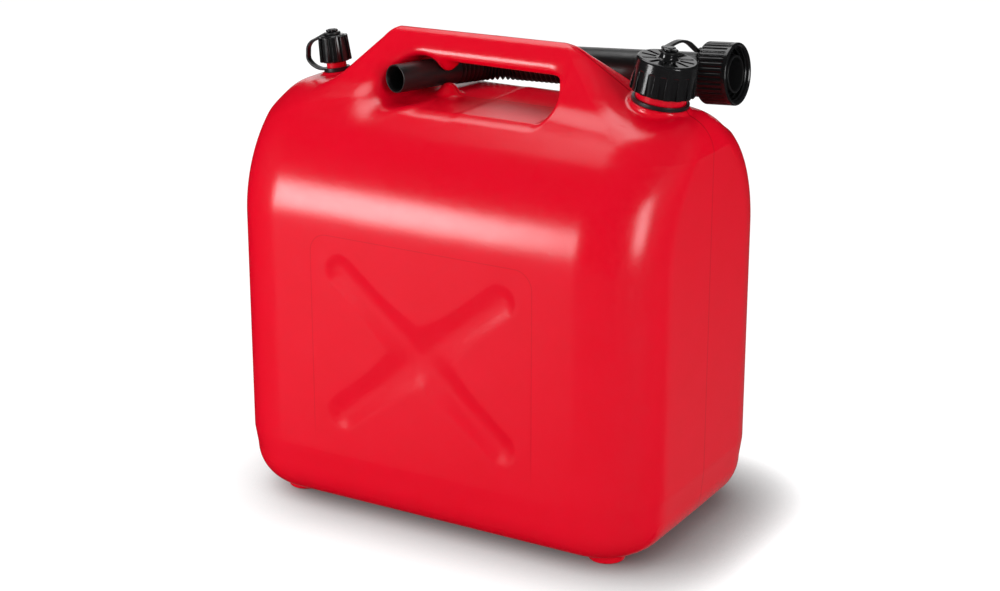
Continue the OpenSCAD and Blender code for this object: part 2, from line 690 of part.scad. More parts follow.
// How far the ribs stay from the cap's lower and upper edge
vent_rib_inset = 0.8;
module vent_cap() {
    body_d = vent_cap_d - 2 * vent_rib_h;
    color("#18181a") vent_frame() {
        difference() {
            union() {
                translate([0, 0, vent_cap_gap]) cylinder(d = body_d, h = vent_top_at - vent_cap_gap);
                for (i = [0 : vent_ribs - 1])
                    rotate([0, 0, 360 * (i + 0.5) / vent_ribs])
                        translate([body_d / 2 - vent_rib_h, -vent_rib_w / 2, vent_cap_gap + vent_rib_inset])
                            cube([2 * vent_rib_h, vent_rib_w, vent_top_at - vent_cap_gap - 2 * vent_rib_inset]);
            }
            translate([0, 0, vent_cap_gap - clear])
                cylinder(d = vent_cap_bore, h = vent_neck_h + gasket_t - vent_cap_gap + clear);
        }
        stud(vent_top_at, vent_boss_h);
    }
}
module vent_cap_gasket() {
    color("#3a3a3a") vent_frame() translate([0, 0, vent_neck_h])
        cylinder(d = vent_cap_bore - 2 * fit, h = gasket_t);
}
module vent_strap_eye() {
    color("#202022") vent_frame() strap_eye(vent_eye_at);
}
// The vent strap's bow: where it turns down and up again, as shares of its reach and of its height
bow_share = 0.9;
bow_turn = 0.35;
module vent_strap() {
    ring_r = vent_neck_d / 2 + fit + ring_wall;
    low = along_vent(ring_h / 2, 0);
    high = along_vent(vent_eye_at + eye_t / 2, 0);
    mid = (low + high) / 2;
    turn = bow_turn * (high[1] - low[1]);
    route = [
        along_vent(ring_h / 2, ring_r - strap_lead),
        along_vent((ring_h + strap_start) / 2, ring_r + strap_run),
        mid + [-bow_share * vent_strap_bow, -turn],
        mid + [-vent_strap_bow, 0],
        mid + [-bow_share * vent_strap_bow, turn],
        along_vent(vent_eye_at + (eye_t + strap_start) / 2, eye_d / 2 + strap_run),
        along_vent(vent_eye_at + eye_t / 2, eye_d / 2 - strap_lead)];
    color("#202022") difference() {
        translate([0, strap_w / 2, 0]) rotate([90, 0, 0]) linear_extrude(strap_w) band(route);
        vent_frame() translate([0, 0, -clear]) cylinder(r = ring_r, h = ring_h + 2 * clear);
        vent_frame() translate([0, 0, vent_eye_at - clear]) cylinder(d = eye_d, h = eye_t + 2 * clear);
    }
}

// Spout
module spout_nozzle() {
    color("#1c1c1d") spout_frame() translate([nozzle_tip[0], nozzle_tip[1], 0]) rotate([0, 90, spout_bend])
        difference() {
            cylinder(d = nozzle_d, h = nozzle_len);
            translate([0, 0, -clear]) cylinder(d = nozzle_d - 2 * nozzle_wall, h = nozzle_len + 2 * clear);
        }
}
// The bellows follows the nozzle's line, the bend and the tube's line, with a ridge and a groove for each rib
bend_len = spout_bend_r * spout_bend * PI / 180;
bellows_len = nozzle_run + bend_len + bellows_run;
function bellows_angle(u) = u < nozzle_run ? spout_bend :
    u < nozzle_run + bend_len ? spout_bend * (1 - (u - nozzle_run) / bend_len) : 0;
function bellows_at(u) =
    u < nozzle_run ? nozzle_end - u * nozzle_dir :
    u < nozzle_run + bend_len ? spout_bend_r * [-sin(bellows_angle(u)), cos(bellows_angle(u)) - 1] :
    [u - nozzle_run - bend_len, 0];
bellows_sides = 8;
function bellows_ring(u, r) =
    let (c = bellows_at(u), a = bellows_angle(u))
    [for (i = [0 : bellows_sides - 1])
        let (t = 360 * i / bellows_sides)
        [c[0] - r * cos(t) * sin(a), c[1] + r * cos(t) * cos(a), r * sin(t)]];
module spout_bellows() {
    stations = 2 * bellows_ribs;
    m = bellows_sides;
    function ridge(k) = let (t = k / stations) (bellows_d1 * (1 - t) + bellows_d2 * t) / 2;
    function outer_r(k) = k % 2 == 1 ? ridge(k) : ridge(k) - bellows_groove;
    function bore_r(k) = let (t = k / stations) (nozzle_d / 2 - nozzle_wall) * (1 - t) + tube_bore / 2 * t;
    outside = [for (k = [0 : stations]) each bellows_ring(bellows_len * k / stations, outer_r(k))];
    inside = [for (k = [0 : stations]) each bellows_ring(bellows_len * k / stations, bore_r(k))];
    first = (stations + 1) * m;
    color("#19191a") spout_frame() polyhedron(concat(outside, inside), concat(
        [for (k = [0 : stations - 1]) for (i = [0 : m - 1])
            let (j = (i + 1) % m, a = k * m + i, b = k * m + j)
            each [[a, b, b + m], [a, b + m, a + m],
                [first + a, first + b + m, first + b], [first + a, first + a + m, first + b + m]]],
        [for (i = [0 : m - 1])
            let (j = (i + 1) % m, e = stations * m)
            each [[i, first + i, first + j], [i, first + j, j],
                [e + i, first + e + j, first + e + i], [e + i, e + j, first + e + j]]]),
        convexity = 10);
}
module spout_tube() {
    color("#1c1c1d") spout_frame() rotate([0, 90, 0]) difference() {
        union() {
            translate([0, 0, bellows_run]) cylinder(d = tube_d, h = flange_at + flange_t - bellows_run);
            translate([0, 0, flange_at]) cylinder(d = flange_d, h = flange_t);
            translate([0, 0, flange_at]) cylinder(d = spigot_d, h = spigot_end - flange_at);
        }
        translate([0, 0, bellows_run - clear]) cylinder(d = tube_bore, h = flange_at - bellows_run);
        translate([0, 0, bellows_run])
            cylinder(d = spigot_d - 2 * nozzle_wall, h = spigot_end - bellows_run + clear);
    }
}
module spout_gasket() {
    color("#3a3a3a") spout_frame() rotate([0, 90, 0]) translate([0, 0, flange_at + flange_t]) difference() {
        cylinder(d = flange_d, h = spout_gasket_t);
        translate([0, 0, -clear]) cylinder(d = spigot_d + 2 * fit, h = spout_gasket_t + 2 * clear);
    }
}
// The grooves between the collar's grip ribs, and how far they stay from its ends
rib_r = 0.8;
rib_margin = 2;
module spout_collar() {
    color("#151516") spout_frame() rotate([0, 90, 0]) difference() {
        translate([0, 0, collar_at]) cylinder(d = collar_d, h = collar_len);
        translate([0, 0, collar_at - clear]) cylinder(d = tube_d + 2 * fit, h = collar_back + 2 * clear);
        translate([0, 0, collar_at + collar_back]) cylinder(d = inner_bore, h = collar_len);
        for (i = [0 : collar_ribs - 1])
            rotate([0, 0, 360 * i / collar_ribs])
                translate([collar_d / 2 + rib_r / 2, 0, collar_at + rib_margin])
                    cylinder(r = rib_r, h = collar_len - 2 * rib_margin, $fn = 24);
    }
}

tank();
filler_cap_shell();
filler_cap_inner();
filler_cap_gasket();
filler_strap_ring();
filler_strap();
filler_strap_eye();
vent_cap();
vent_cap_gasket();
vent_strap_ring();
vent_strap();
vent_strap_eye();
spout_nozzle();
spout_bellows();
spout_tube();
spout_gasket();
spout_collar();
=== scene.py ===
import itertools
import json
import math

import bpy
import numpy as np
from mathutils import Matrix, Vector


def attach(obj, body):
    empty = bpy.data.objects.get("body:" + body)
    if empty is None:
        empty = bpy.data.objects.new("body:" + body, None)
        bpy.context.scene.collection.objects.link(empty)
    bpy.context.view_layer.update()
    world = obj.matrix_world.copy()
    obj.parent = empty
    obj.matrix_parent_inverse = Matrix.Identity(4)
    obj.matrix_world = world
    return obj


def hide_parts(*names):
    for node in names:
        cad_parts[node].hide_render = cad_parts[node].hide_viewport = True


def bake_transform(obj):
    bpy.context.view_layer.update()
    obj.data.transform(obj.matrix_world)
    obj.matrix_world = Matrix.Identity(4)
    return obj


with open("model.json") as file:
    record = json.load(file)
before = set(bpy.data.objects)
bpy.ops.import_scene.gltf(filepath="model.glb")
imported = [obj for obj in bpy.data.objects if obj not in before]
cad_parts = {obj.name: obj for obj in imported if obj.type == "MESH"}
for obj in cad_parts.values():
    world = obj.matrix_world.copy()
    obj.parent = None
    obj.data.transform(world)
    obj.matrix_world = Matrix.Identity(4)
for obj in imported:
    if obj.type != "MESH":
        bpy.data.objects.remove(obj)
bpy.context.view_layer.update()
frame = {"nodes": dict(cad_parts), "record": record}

MM = 0.001


def sind(a):
    return math.sin(math.radians(a))


def cosd(a):
    return math.cos(math.radians(a))


def tand(a):
    return math.tan(math.radians(a))


# Sizes in millimetres and degrees. Most are those of the solids, some follow the photograph more closely
# Body of the tank
TANK_W = 350.0
TANK_D = 219.0
BASE_H = 5.0
BASE_R = 31.0
CORNER_R = 52.0
CREASE_H = 51.0
BASE_TAPER = 5.0
ROOF_R = 92.0
ROOF_SLOPE = 36.0
RIGHT_BULGE = 1.0
FOOT_X = 132.0
FOOT_Y = 67.0
FOOT_R = 13.5
FOOT_H = 10.0
# Handle. Each leg has its foot's place, its foot's height and its half width at the top
HANDLE_BASE_H = 325.0
HANDLE_BASE_DEPTH = 60.0
HANDLE_H = 354.0
CREST_H = 356.6
CREST_HALF = 4.6
HANDLE_EDGE = 6.0
HANDLE_TILT = 0.017
HANDLE_ROOT_H = 298.0
HANDLE_BLEND = 7.0
RIGHT_LEG = (122.0, 319.0, 66.5)
LEFT_LEG = (128.5, 314.0, 89.0)
# Platforms under the necks, which start at the legs' feet and slope down outwards
FILLER_FOOT = 118.0
FILLER_FOOT_H = 319.0
FILLER_SLOPE = 3.0
VENT_FOOT = 127.0
VENT_FOOT_H = 314.0
VENT_SLOPE = 8.0
PLATFORM_EDGE_R = 10.0
FILLER_SHOULDER_R = 25.0
VENT_SHOULDER_R = 20.0
SHOULDER_FROM = 112.0
SHOULDER_TO = 165.0
# Necks
FILLER_X = 132.5
FILLER_LEAN = 9.5
FILLER_PAD_H = 5.0
FILLER_NECK_D = 36.5
FILLER_BORE = 30.0
FILLER_NECK_H = 22.7
FILLER_Z = FILLER_FOOT_H - (FILLER_X - FILLER_FOOT) * tand(FILLER_SLOPE)
VENT_X = 140.0
VENT_LEAN = 8.0
VENT_PAD_H = 2.0
VENT_NECK_D = 15.0
VENT_BORE = 10.0
VENT_NECK_H = 24.0
VENT_Z = VENT_FOOT_H - (VENT_X - VENT_FOOT) * tand(VENT_SLOPE)
THREAD_PITCH = 4.0
THREAD_H = 1.0
FIT = 0.3
# Grip slot, the bar over it, the lugs and the cross on the faces
SLOT_FLOOR = 308.5
SLOT_TOP = 331.0
SLOT_LEFT = -44.0
SLOT_RIGHT = 67.5
SLOT_R = 9.5
POCKET_LEFT = -70.0
POCKET_R = 7.5
POCKET_FIT = 11.7
POCKET_DROP = 3.0
BAR_R = 17.6
BAR_ROUND_H = 11.0
BAR_LEFT = -62.0
BAR_INSET = 7.0
SCOOP_R = 12.5
SCOOP_LEN = 60.0
LUG_R = 6.5
LUG_GAP = 9.7
CROSS_W = 134.0
CROSS_H = 110.0
CROSS_Z = 141.0
CROSS_ARM = 24.0
CROSS_DEPTH = 2.3
# How softly the tank's forms run into each other
FILLER_PAD_BLEND = 4.0
VENT_PAD_BLEND = 3.0
FOOT_BLEND = 3.0
SLOT_EDGE = 4.5
SCOOP_EDGE = 17.0
BAR_EDGE = 11.0
LUG_BLEND = 8.0
CROSS_MEET = 3.0
CROSS_EDGE = 0.9
CROSS_SOFT = 6.0
CROSS_SOFT_R = 30.0
# Spout
SPOUT_AT = np.array([-14.5, 62.5, 322.0])
SPOUT_RISE = 4.0
SPOUT_ROLL = 3.0
SPOUT_BEND = 74.0
SPOUT_R = 30.0
NOZZLE_D = 21.0
NOZZLE_WALL = 1.7
NOZZLE_LEN = 58.0
BELLOWS_D1 = 23.0
BELLOWS_D2 = 29.0
BELLOWS_GROOVE = 2.2
BELLOWS_RIBS = 25
BELLOWS_RUN = 46.0
TUBE_D = 29.0
TUBE_BORE = 23.0
COLLAR_REACH = 179.5
COLLAR_D = 44.0
COLLAR_SWELL = 0.7
COLLAR_LEN = 24.5
COLLAR_BACK = 3.0
COLLAR_RIBS = 36
FLANGE_D = 36.0
FLANGE_T = 2.5
SPIGOT_D = 27.4
SPIGOT_INSET = 2.0
# Caps
CAP_GAP = 6.5
CAP_TOP = 2.0
CAP_FLUTES = 16
CAP_SLOTS = 12
CAP_SKIRT_R = 23.9
CAP_TAPER = 0.095
FLUTE_R = 22.0
FLUTE_HALF = 2.3
SLOT_HALF = 1.35
SLOT_DEPTH = 1.3
SLOTS_END = 18.65
CAP_LIFT = 2.0
VENT_CAP_D = 25.0
VENT_CAP_GAP = 7.1
VENT_CAP_TOP = 1.6
VENT_TAPER = 0.055
VENT_RIBS = 10
VENT_RIB_W = 4.0
VENT_RIB_H = 2.1
GASKET_T = 1.8
INNER_WALL = 1.5
INNER_TOP = 1.8
INNER_PLAY = 2.0
# Tethers and the studs that hold their eyes
STRAP_W = 4.8
STRAP_T = 1.9
STRAP_ROOM = 2.2
RING_H = 3.0
RING_WALL = 2.2
EYE_T = 1.6
EYE_WALL = 3.0
EYE_PLAY = 0.4
STUD_D = 6.0
HEAD_H = 2.2
FILLER_BOSS_H = 4.0
VENT_BOSS_H = 0.5
FILLER_LOBES = 0.6
VENT_LOBES = 0.35


# Distance fields, all in millimetres and vectorised over an array of points
def smin(a, b, k):
    """The smaller of two fields, blended over a width k."""
    h = np.maximum(k - np.abs(a - b), 0.0) / k
    return np.minimum(a, b) - h * h * k * 0.25


def smax(a, b, k):
    return -smin(-a, -b, k)


def ramp(t, a, b):
    """0 below a, 1 above b, smooth between."""
    u = np.clip((t - a) / (b - a), 0.0, 1.0)
    return u * u * (3.0 - 2.0 * u)


def round_box(qx, qy, r):
    """A box in two directions, given as distances past its sides, with its corners rounded."""
    ux, uy = qx + r, qy + r
    return np.minimum(np.maximum(ux, uy), 0.0) + np.hypot(np.maximum(ux, 0.0), np.maximum(uy, 0.0)) - r


def capsule(p, a, b, r):
    a, b = np.asarray(a, float), np.asarray(b, float)
    d = b - a
    t = np.clip(((p - a) @ d) / (d @ d), 0.0, 1.0)
    return np.linalg.norm(p - a - t[:, None] * d, axis=1) - r


# Profiles of the tank against height
Z_STEP = 0.25
ZT = np.arange(-6.0, 366.0, Z_STEP)


def edge_inset(z):
    """How far the rounded bottom edge lies inside the wall."""
    top = BASE_H + BASE_R
    zz = np.clip(z, BASE_H, top)
    return BASE_R - np.sqrt(np.maximum(0.0, BASE_R ** 2 - (top - zz) ** 2))


def low_inset(z):
    """The same with the taper below the crease."""
    zz = np.maximum(z, BASE_H + BASE_R)
    drawn = np.where(zz >= CREASE_H, 0.0, BASE_TAPER * (CREASE_H - zz) / (CREASE_H - BASE_H))
    return drawn + edge_inset(z)


def body_end(z):
    """Half width of the body below its shoulders."""
    return TANK_W / 2 - low_inset(z)


def body_depth(z):
    """Half depth of the body: the wall, its shoulder and the sloping roof."""
    arc_y = TANK_D / 2 - ROOF_R + ROOF_R * sind(ROOF_SLOPE)
    arc_top = HANDLE_BASE_H - (arc_y - HANDLE_BASE_DEPTH / 2) * tand(ROOF_SLOPE)
    arc_start = arc_top - ROOF_R * cosd(ROOF_SLOPE)
    up = TANK_D / 2 - low_inset(z)
    arc = TANK_D / 2 - ROOF_R + np.sqrt(np.maximum(0.0, ROOF_R ** 2 - (z - arc_start) ** 2))
    roof = HANDLE_BASE_DEPTH / 2 + (HANDLE_BASE_H - z) / tand(ROOF_SLOPE)
    return np.where(z <= arc_start, up, np.where(z <= arc_top, arc, roof))


def handle_end(z, foot, h, top):
    """Half width of the handle, whose legs slope inwards from their feet."""
    leg = top + (HANDLE_H - z) * (foot - top) / (HANDLE_H - h)
    over = np.maximum(0.0, z - (CREST_H - HANDLE_EDGE))
    return leg - HANDLE_EDGE + np.sqrt(np.maximum(0.0, HANDLE_EDGE ** 2 - over ** 2))


def handle_depth(z):
    """Half depth of the handle: one slope from the crest down to the roof."""
    lean = (HANDLE_BASE_DEPTH / 2 - CREST_HALF) / (HANDLE_H - HANDLE_BASE_H)
    side = CREST_HALF + (HANDLE_H - z) * lean
    top = CREST_HALF * (CREST_H - z) / (CREST_H - HANDLE_H)
    return np.minimum(side, top)


def smooth(v, half):
    """A profile averaged over half to each side of every height."""
    n = int(round(half / Z_STEP))
    w = np.hanning(2 * n + 3)[1:-1]
    w /= w.sum()
    return np.convolve(np.concatenate([np.full(n, v[0]), v, np.full(n, v[-1])]), w, mode="valid")


# How much the end walls fall back on each side of the parting line, and how much the handle's legs do
END_DRAFT = 0.006
CROWN_RIGHT = 12.5
CROWN_LEFT = 3.0
NONE = np.zeros(len(ZT))
_body_depth = smooth(body_depth(ZT), 2.5)
_handle_depth = smooth(handle_depth(ZT), 2.5)
_crown = np.clip((_handle_depth - CREST_HALF) / (HANDLE_BASE_DEPTH / 2 - CREST_HALF), 0.0, 1.0)
_low_corner = smooth(CORNER_R - edge_inset(ZT), 2.0)
_roof_corner = smooth(np.minimum(CORNER_R, 0.82 * np.maximum(_body_depth, 1.0)), 9.0)
_roofing = ramp(ZT, 150.0, 250.0)
BODY = {
    "right": smooth(body_end(ZT), 1.5) + RIGHT_BULGE,
    "left": smooth(body_end(ZT), 1.5),
    "deep": _body_depth,
    "corner": _low_corner * (1.0 - _roofing) + _roof_corner * _roofing,
    "draft": np.full(len(ZT), END_DRAFT),
    "crown_right": NONE,
    "crown_left": NONE,
}
HANDLE = {
    "right": smooth(handle_end(ZT, *RIGHT_LEG), 1.5),
    "left": smooth(handle_end(ZT, *LEFT_LEG), 1.5),
    "deep": _handle_depth,
    "corner": np.minimum(7.0, 0.7 * np.maximum(_handle_depth, 0.5)),
    "draft": NONE,
    "crown_right": CROWN_RIGHT * _crown,
    "crown_left": CROWN_LEFT * _crown,
}


def slice_field(shape, x, y, z):
    """Distance in the level plane from the outline that a shape has at each height."""
    right, left, deep, r, draft, crown_right, crown_left = (np.interp(z, ZT, shape[k]) for k in shape)
    side = np.minimum(1.0, np.abs(y) / np.maximum(deep, 2.0))
    off = x - (right - left) / 2
    bow = np.where(off > 0.0, crown_right, crown_left) * side * (0.45 + 0.55 * side) + draft * np.abs(y)
    return round_box(np.abs(off) - ((right + left) / 2 - bow), np.abs(y) - deep, r)


# The platforms: side, where the leg's foot stands, its height, the slope and the shoulder's radius
PLATFORMS = [
    (1, FILLER_FOOT, FILLER_FOOT_H, FILLER_SLOPE, FILLER_SHOULDER_R),
    (-1, VENT_FOOT, VENT_FOOT_H, VENT_SLOPE, VENT_SHOULDER_R),
]


def round_both(a, b, r):
    """Where two fields overlap, with the edge between them rounded."""
    u, v = np.maximum(a + r, 0.0), np.maximum(b + r, 0.0)
    return np.minimum(np.maximum(a, b), -r) + np.hypot(u, v)


def stack_field(shape, x, y, z):
    """A stack of rounded slices, brought to true distance by how fast they change with height."""
    e = 0.3
    d = slice_field(shape, x, y, z)
    rise = (slice_field(shape, x, y, z + e) - slice_field(shape, x, y, z - e)) / (2 * e)
    return d / np.sqrt(1.0 + rise * rise)


def body_field(p):
    x, y, z = p.T
    body = smax(stack_field(BODY, x, y, z), BASE_H - z, 1.0)
    for side, foot, h, slope, r in PLATFORMS:
        over = (z - h) * cosd(slope) + (side * x - foot) * sind(slope)
        outer = ramp(side * x, SHOULDER_FROM, SHOULDER_TO)
        body = round_both(body, over, PLATFORM_EDGE_R + (r - PLATFORM_EDGE_R) * outer)
    handle = smax(stack_field(HANDLE, x, y, z - HANDLE_TILT * x), HANDLE_ROOT_H - z, 1.0)
    return smin(body, handle, HANDLE_BLEND)


# The spout's own frame: its tube along x, its bend in the xy plane
def spout_axes():
    c, s = cosd(SPOUT_RISE), sind(SPOUT_RISE)
    rise = np.array([[c, 0, -s], [0, 1, 0], [s, 0, c]])
    c, s = cosd(SPOUT_ROLL), sind(SPOUT_ROLL)
    roll = np.array([[1, 0, 0], [0, c, s], [0, -s, c]])
    return rise @ roll


SPOUT_M = spout_axes()
NOZZLE_RUN = NOZZLE_D
BEND_START = np.array([-SPOUT_R * sind(SPOUT_BEND), -SPOUT_R * (1 - cosd(SPOUT_BEND))])
NOZZLE_DIR = np.array([-cosd(SPOUT_BEND), -sind(SPOUT_BEND)])
NOZZLE_END = BEND_START + NOZZLE_RUN * NOZZLE_DIR
NOZZLE_TIP = NOZZLE_END + NOZZLE_LEN * NOZZLE_DIR
_mid = NOZZLE_TIP + NOZZLE_DIR * (-SPOUT_AT[1] - NOZZLE_TIP[1]) / NOZZLE_DIR[1]
NOZZLE_AT = SPOUT_AT + SPOUT_M @ np.array([_mid[0], _mid[1], 0.0])
NOZZLE_SLANT = SPOUT_M @ np.array([NOZZLE_DIR[0], NOZZLE_DIR[1], 0.0])
LUG_MID = NOZZLE_AT[2] - 1.0
LUG_HIGH = LUG_GAP / 2 + LUG_R
LUG_REACH = NOZZLE_D / 2 + LUG_R + FIT
LUG_ABOVE = LUG_MID + LUG_HIGH - NOZZLE_AT[2]
LUG_X = NOZZLE_AT[0] + math.sqrt((LUG_REACH ** 2 - LUG_ABOVE ** 2) / (1 - NOZZLE_SLANT[0] ** 2))


def slot_field(p):
    """The grip slot, with the pocket that fits round the nozzle at its left end."""
    x, z = p[:, 0], p[:, 2]
    mid = (SLOT_FLOOR + SLOT_TOP) / 2
    half = (SLOT_TOP - SLOT_FLOOR) / 2
    wide = (SLOT_RIGHT - SLOT_LEFT) / 2
    main = round_box(np.abs(x - (SLOT_RIGHT + SLOT_LEFT) / 2) - wide, np.abs(z - mid) - half, SLOT_R)
    low_x = np.abs(x - POCKET_LEFT / 2) + POCKET_LEFT / 2
    low_z = np.abs(z - mid + POCKET_DROP) - half + POCKET_DROP
    low = round_box(low_x, low_z, POCKET_R)
    off = p - NOZZLE_AT
    off = off - (off @ NOZZLE_SLANT)[:, None] * NOZZLE_SLANT
    pocket = np.linalg.norm(off, axis=1) - POCKET_FIT
    return smin(smin(main, low, 3.0), pocket, 3.0)


def scoop_field(p):
    """The hollow in front of the nozzle's mouth."""
    mouth = NOZZLE_AT + NOZZLE_SLANT * 32.0 + np.array([1.5, 0.0, -2.0])
    return capsule(p, mouth, mouth + NOZZLE_SLANT * SCOOP_LEN, SCOOP_R)


def relief_field(p):
    """What is cut away to leave the round bar of the grip."""
    x, y, z = p.T
    bar = BAR_R - np.hypot(y, z - SLOT_TOP - BAR_R)
    z = z - HANDLE_TILT * x
    lo, hi = BAR_LEFT, SLOT_RIGHT - BAR_INSET
    reach = np.abs(x - (lo + hi) / 2) - (hi - lo) / 2
    band = np.maximum(z - (SLOT_TOP + BAR_ROUND_H), SLOT_TOP - 6.0 - z)
    return smax(smax(bar, band, 2.0), reach, 12.0)


def lug_field(p):
    """The two lugs that pinch the nozzle."""
    centres = [np.array([LUG_X, 0.0, LUG_MID + side * LUG_HIGH]) for side in (-1, 1)]
    return np.minimum(*(np.linalg.norm(p - c, axis=1) for c in centres)) - LUG_R


CROSS_R = ((CROSS_ARM / 2) ** 2 + CROSS_DEPTH ** 2) / (2 * CROSS_DEPTH)


def cross_field(p):
    """The two crossing grooves in the front and the back."""
    x, y, z = p.T
    q = np.stack([x, -np.abs(y), z], axis=1)
    deep = TANK_D / 2 + CROSS_R - CROSS_DEPTH
    ex, ez = CROSS_W / 2, CROSS_H / 2
    arms = [capsule(q, (-ex, -deep, CROSS_Z - h), (ex, -deep, CROSS_Z + h), CROSS_R) for h in (ez, -ez)]
    return smin(*arms, CROSS_MEET)


def axis_frame(at, lean):
    """Columns are the local axes; the third is the neck's axis."""
    m = np.array([[cosd(lean), 0, sind(lean)], [0, 1, 0], [-sind(lean), 0, cosd(lean)]])
    return np.asarray(at, float), m


def neck_frame(side, x, z, lean, pad_h):
    """The frame of a neck that leans outwards, from the top of its pad."""
    return axis_frame((side * (x + pad_h * sind(lean)), 0, z + pad_h * cosd(lean)), side * lean)


FILLER_F = neck_frame(1, FILLER_X, FILLER_Z, FILLER_LEAN, FILLER_PAD_H)
VENT_F = neck_frame(-1, VENT_X, VENT_Z, VENT_LEAN, VENT_PAD_H)
# The filler cap as it shows, screwed on a little less far
CAP_F = (FILLER_F[0] + CAP_LIFT * FILLER_F[1][:, 2], FILLER_F[1])


def local(p, f):
    """Points in the frame f, which is an origin and its axes."""
    return (p - f[0]) @ f[1]


def pad_field(p, f, d):
    """The round pad under a neck."""
    q = local(p, f)
    rho = np.hypot(q[:, 0], q[:, 1])
    return round_box(rho - d / 2, np.abs(q[:, 2] + 4.5) - 4.5, 1.0)


def bore_field(p, f, d):
    q = local(p, f)
    return np.maximum(np.hypot(q[:, 0], q[:, 1]) - d / 2, -q[:, 2] - 40.0)


def tank_field(p):
    """The whole tank without its necks."""
    x, y, z = p.T
    d = body_field(p)
    pad = 2 * (FIT + RING_WALL + 1.0)
    d = smin(d, pad_field(p, FILLER_F, FILLER_NECK_D + pad), FILLER_PAD_BLEND)
    d = smin(d, pad_field(p, VENT_F, VENT_NECK_D + pad), VENT_PAD_BLEND)
    beside = np.hypot(np.abs(x) - FOOT_X, np.abs(y) - FOOT_Y)
    foot = round_box(beside - FOOT_R, np.abs(z - FOOT_H / 2) - FOOT_H / 2, 1.2)
    d = smin(d, foot, FOOT_BLEND)
    d = smax(d, -slot_field(p), SLOT_EDGE)
    d = smax(d, -scoop_field(p), SCOOP_EDGE)
    d = smax(d, -relief_field(p), BAR_EDGE)
    d = smin(d, lug_field(p), LUG_BLEND)
    near = np.exp(-(x * x + (z - CROSS_Z) ** 2) / CROSS_SOFT_R ** 2)
    d = smax(d, -cross_field(p), CROSS_EDGE + CROSS_SOFT * near)
    d = np.maximum(d, -bore_field(p, FILLER_F, FILLER_BORE))
    d = np.maximum(d, -bore_field(p, VENT_F, VENT_BORE))
    return d


# Quad meshes of a field's zero surface on a graded grid, with the field's own normals
def sample(field, xs, ys, zs):
    """The field on the grid, worked out in full only in blocks that the surface may cross."""
    axes = (xs, ys, zs)
    d = np.empty((len(xs), len(ys), len(zs)), np.float32)
    width = 8
    starts = itertools.product(*(range(0, n, width) for n in d.shape))
    blocks = [tuple(slice(i, i + width) for i in start) for start in starts]
    lo = np.array([[v[k][0] for v, k in zip(axes, block)] for block in blocks])
    hi = np.array([[v[k][-1] for v, k in zip(axes, block)] for block in blocks])
    reach = np.linalg.norm(hi - lo, axis=1) / 2
    near = []
    for block, v, r in zip(blocks, field((lo + hi) / 2), reach):
        if abs(v) > 1.6 * r + 4.0 * min(1.0, r):
            d[block] = v
        else:
            near.append(block)
    batch = 400
    for first in range(0, len(near), batch):
        part = near[first:first + batch]
        grids = [np.meshgrid(*(v[k] for v, k in zip(axes, block)), indexing="ij") for block in part]
        pts = [np.stack([v.ravel() for v in grid], axis=1) for grid in grids]
        values = np.split(field(np.concatenate(pts)), np.cumsum([len(q) for q in pts])[:-1])
        for block, v in zip(part, values):
            d[block] = v.reshape(d[block].shape)
    return d


def gradient(field, p, h):
    g = np.empty_like(p)
    for i in range(3):
        e = np.zeros(3)
        e[i] = h
        g[:, i] = (field(p + e) - field(p - e)) / (2 * h)
    return g


def nets(field, xs, ys, zs, h=0.08):
    """One point for each cell that the surface crosses, drawn on to the surface, and the quads between."""
    d = sample(field, xs, ys, zs)
    s = d < 0
    c = np.zeros(tuple(n - 1 for n in d.shape), np.int8)
    corners = list(itertools.product((0, 1), repeat=3))
    for i, j, k in corners:
        c += s[i:i + c.shape[0], j:j + c.shape[1], k:k + c.shape[2]]
    live = (c > 0) & (c < 8)
    index = np.full(c.shape, -1, np.int64)
    ci, cj, ck = np.nonzero(live)
    index[ci, cj, ck] = np.arange(len(ci))
    pos = np.zeros((len(ci), 3))
    count = np.zeros(len(ci))
    edges = [(a, b) for a in corners for b in corners if sum(b) - sum(a) == 1 and np.all(np.less_equal(a, b))]

    def corner(a):
        i, j, k = ci + a[0], cj + a[1], ck + a[2]
        return d[i, j, k].astype(float), np.stack([xs[i], ys[j], zs[k]], axis=1)

    for a, b in edges:
        (da, pa), (db, pb) = corner(a), corner(b)
        m = (da < 0) != (db < 0)
        t = (da / np.where(m, da - db, 1.0))[m]
        pos[m] += pa[m] + t[:, None] * (pb[m] - pa[m])
        count[m] += 1
    pos /= count[:, None]
    faces = []
    for axis in range(3):
        lo = [slice(1, -1)] * 3
        hi = [slice(1, -1)] * 3
        lo[axis], hi[axis] = slice(0, -1), slice(1, None)
        m = s[tuple(lo)] != s[tuple(hi)]
        g = [v + (k != axis) for k, v in enumerate(np.nonzero(m))]
        u, w = (axis + 1) % 3, (axis + 2) % 3
        quad = []
        for du, dw in ((-1, -1), (0, -1), (0, 0), (-1, 0)):
            q = [v.copy() for v in g]
            q[u] += du
            q[w] += dw
            quad.append(index[q[0], q[1], q[2]])
        quad = np.stack(quad, axis=1)
        flip = ~s[g[0], g[1], g[2]]
        quad[flip] = quad[flip][:, ::-1]
        faces.append(quad)
    faces = np.concatenate(faces)
    far = 0.6 * max(np.diff(v).min() for v in (xs, ys, zs))
    for _ in range(3):
        g = gradient(field, pos, h)
        v = field(pos)
        step = v / np.maximum((g * g).sum(axis=1), 0.05)
        move = step[:, None] * g
        size = np.linalg.norm(move, axis=1)
        pos -= move * np.minimum(1.0, far / np.maximum(size, 1e-9))[:, None]
    n = gradient(field, pos, h)
    n /= np.maximum(np.linalg.norm(n, axis=1), 1e-9)[:, None]
    return pos, faces, n


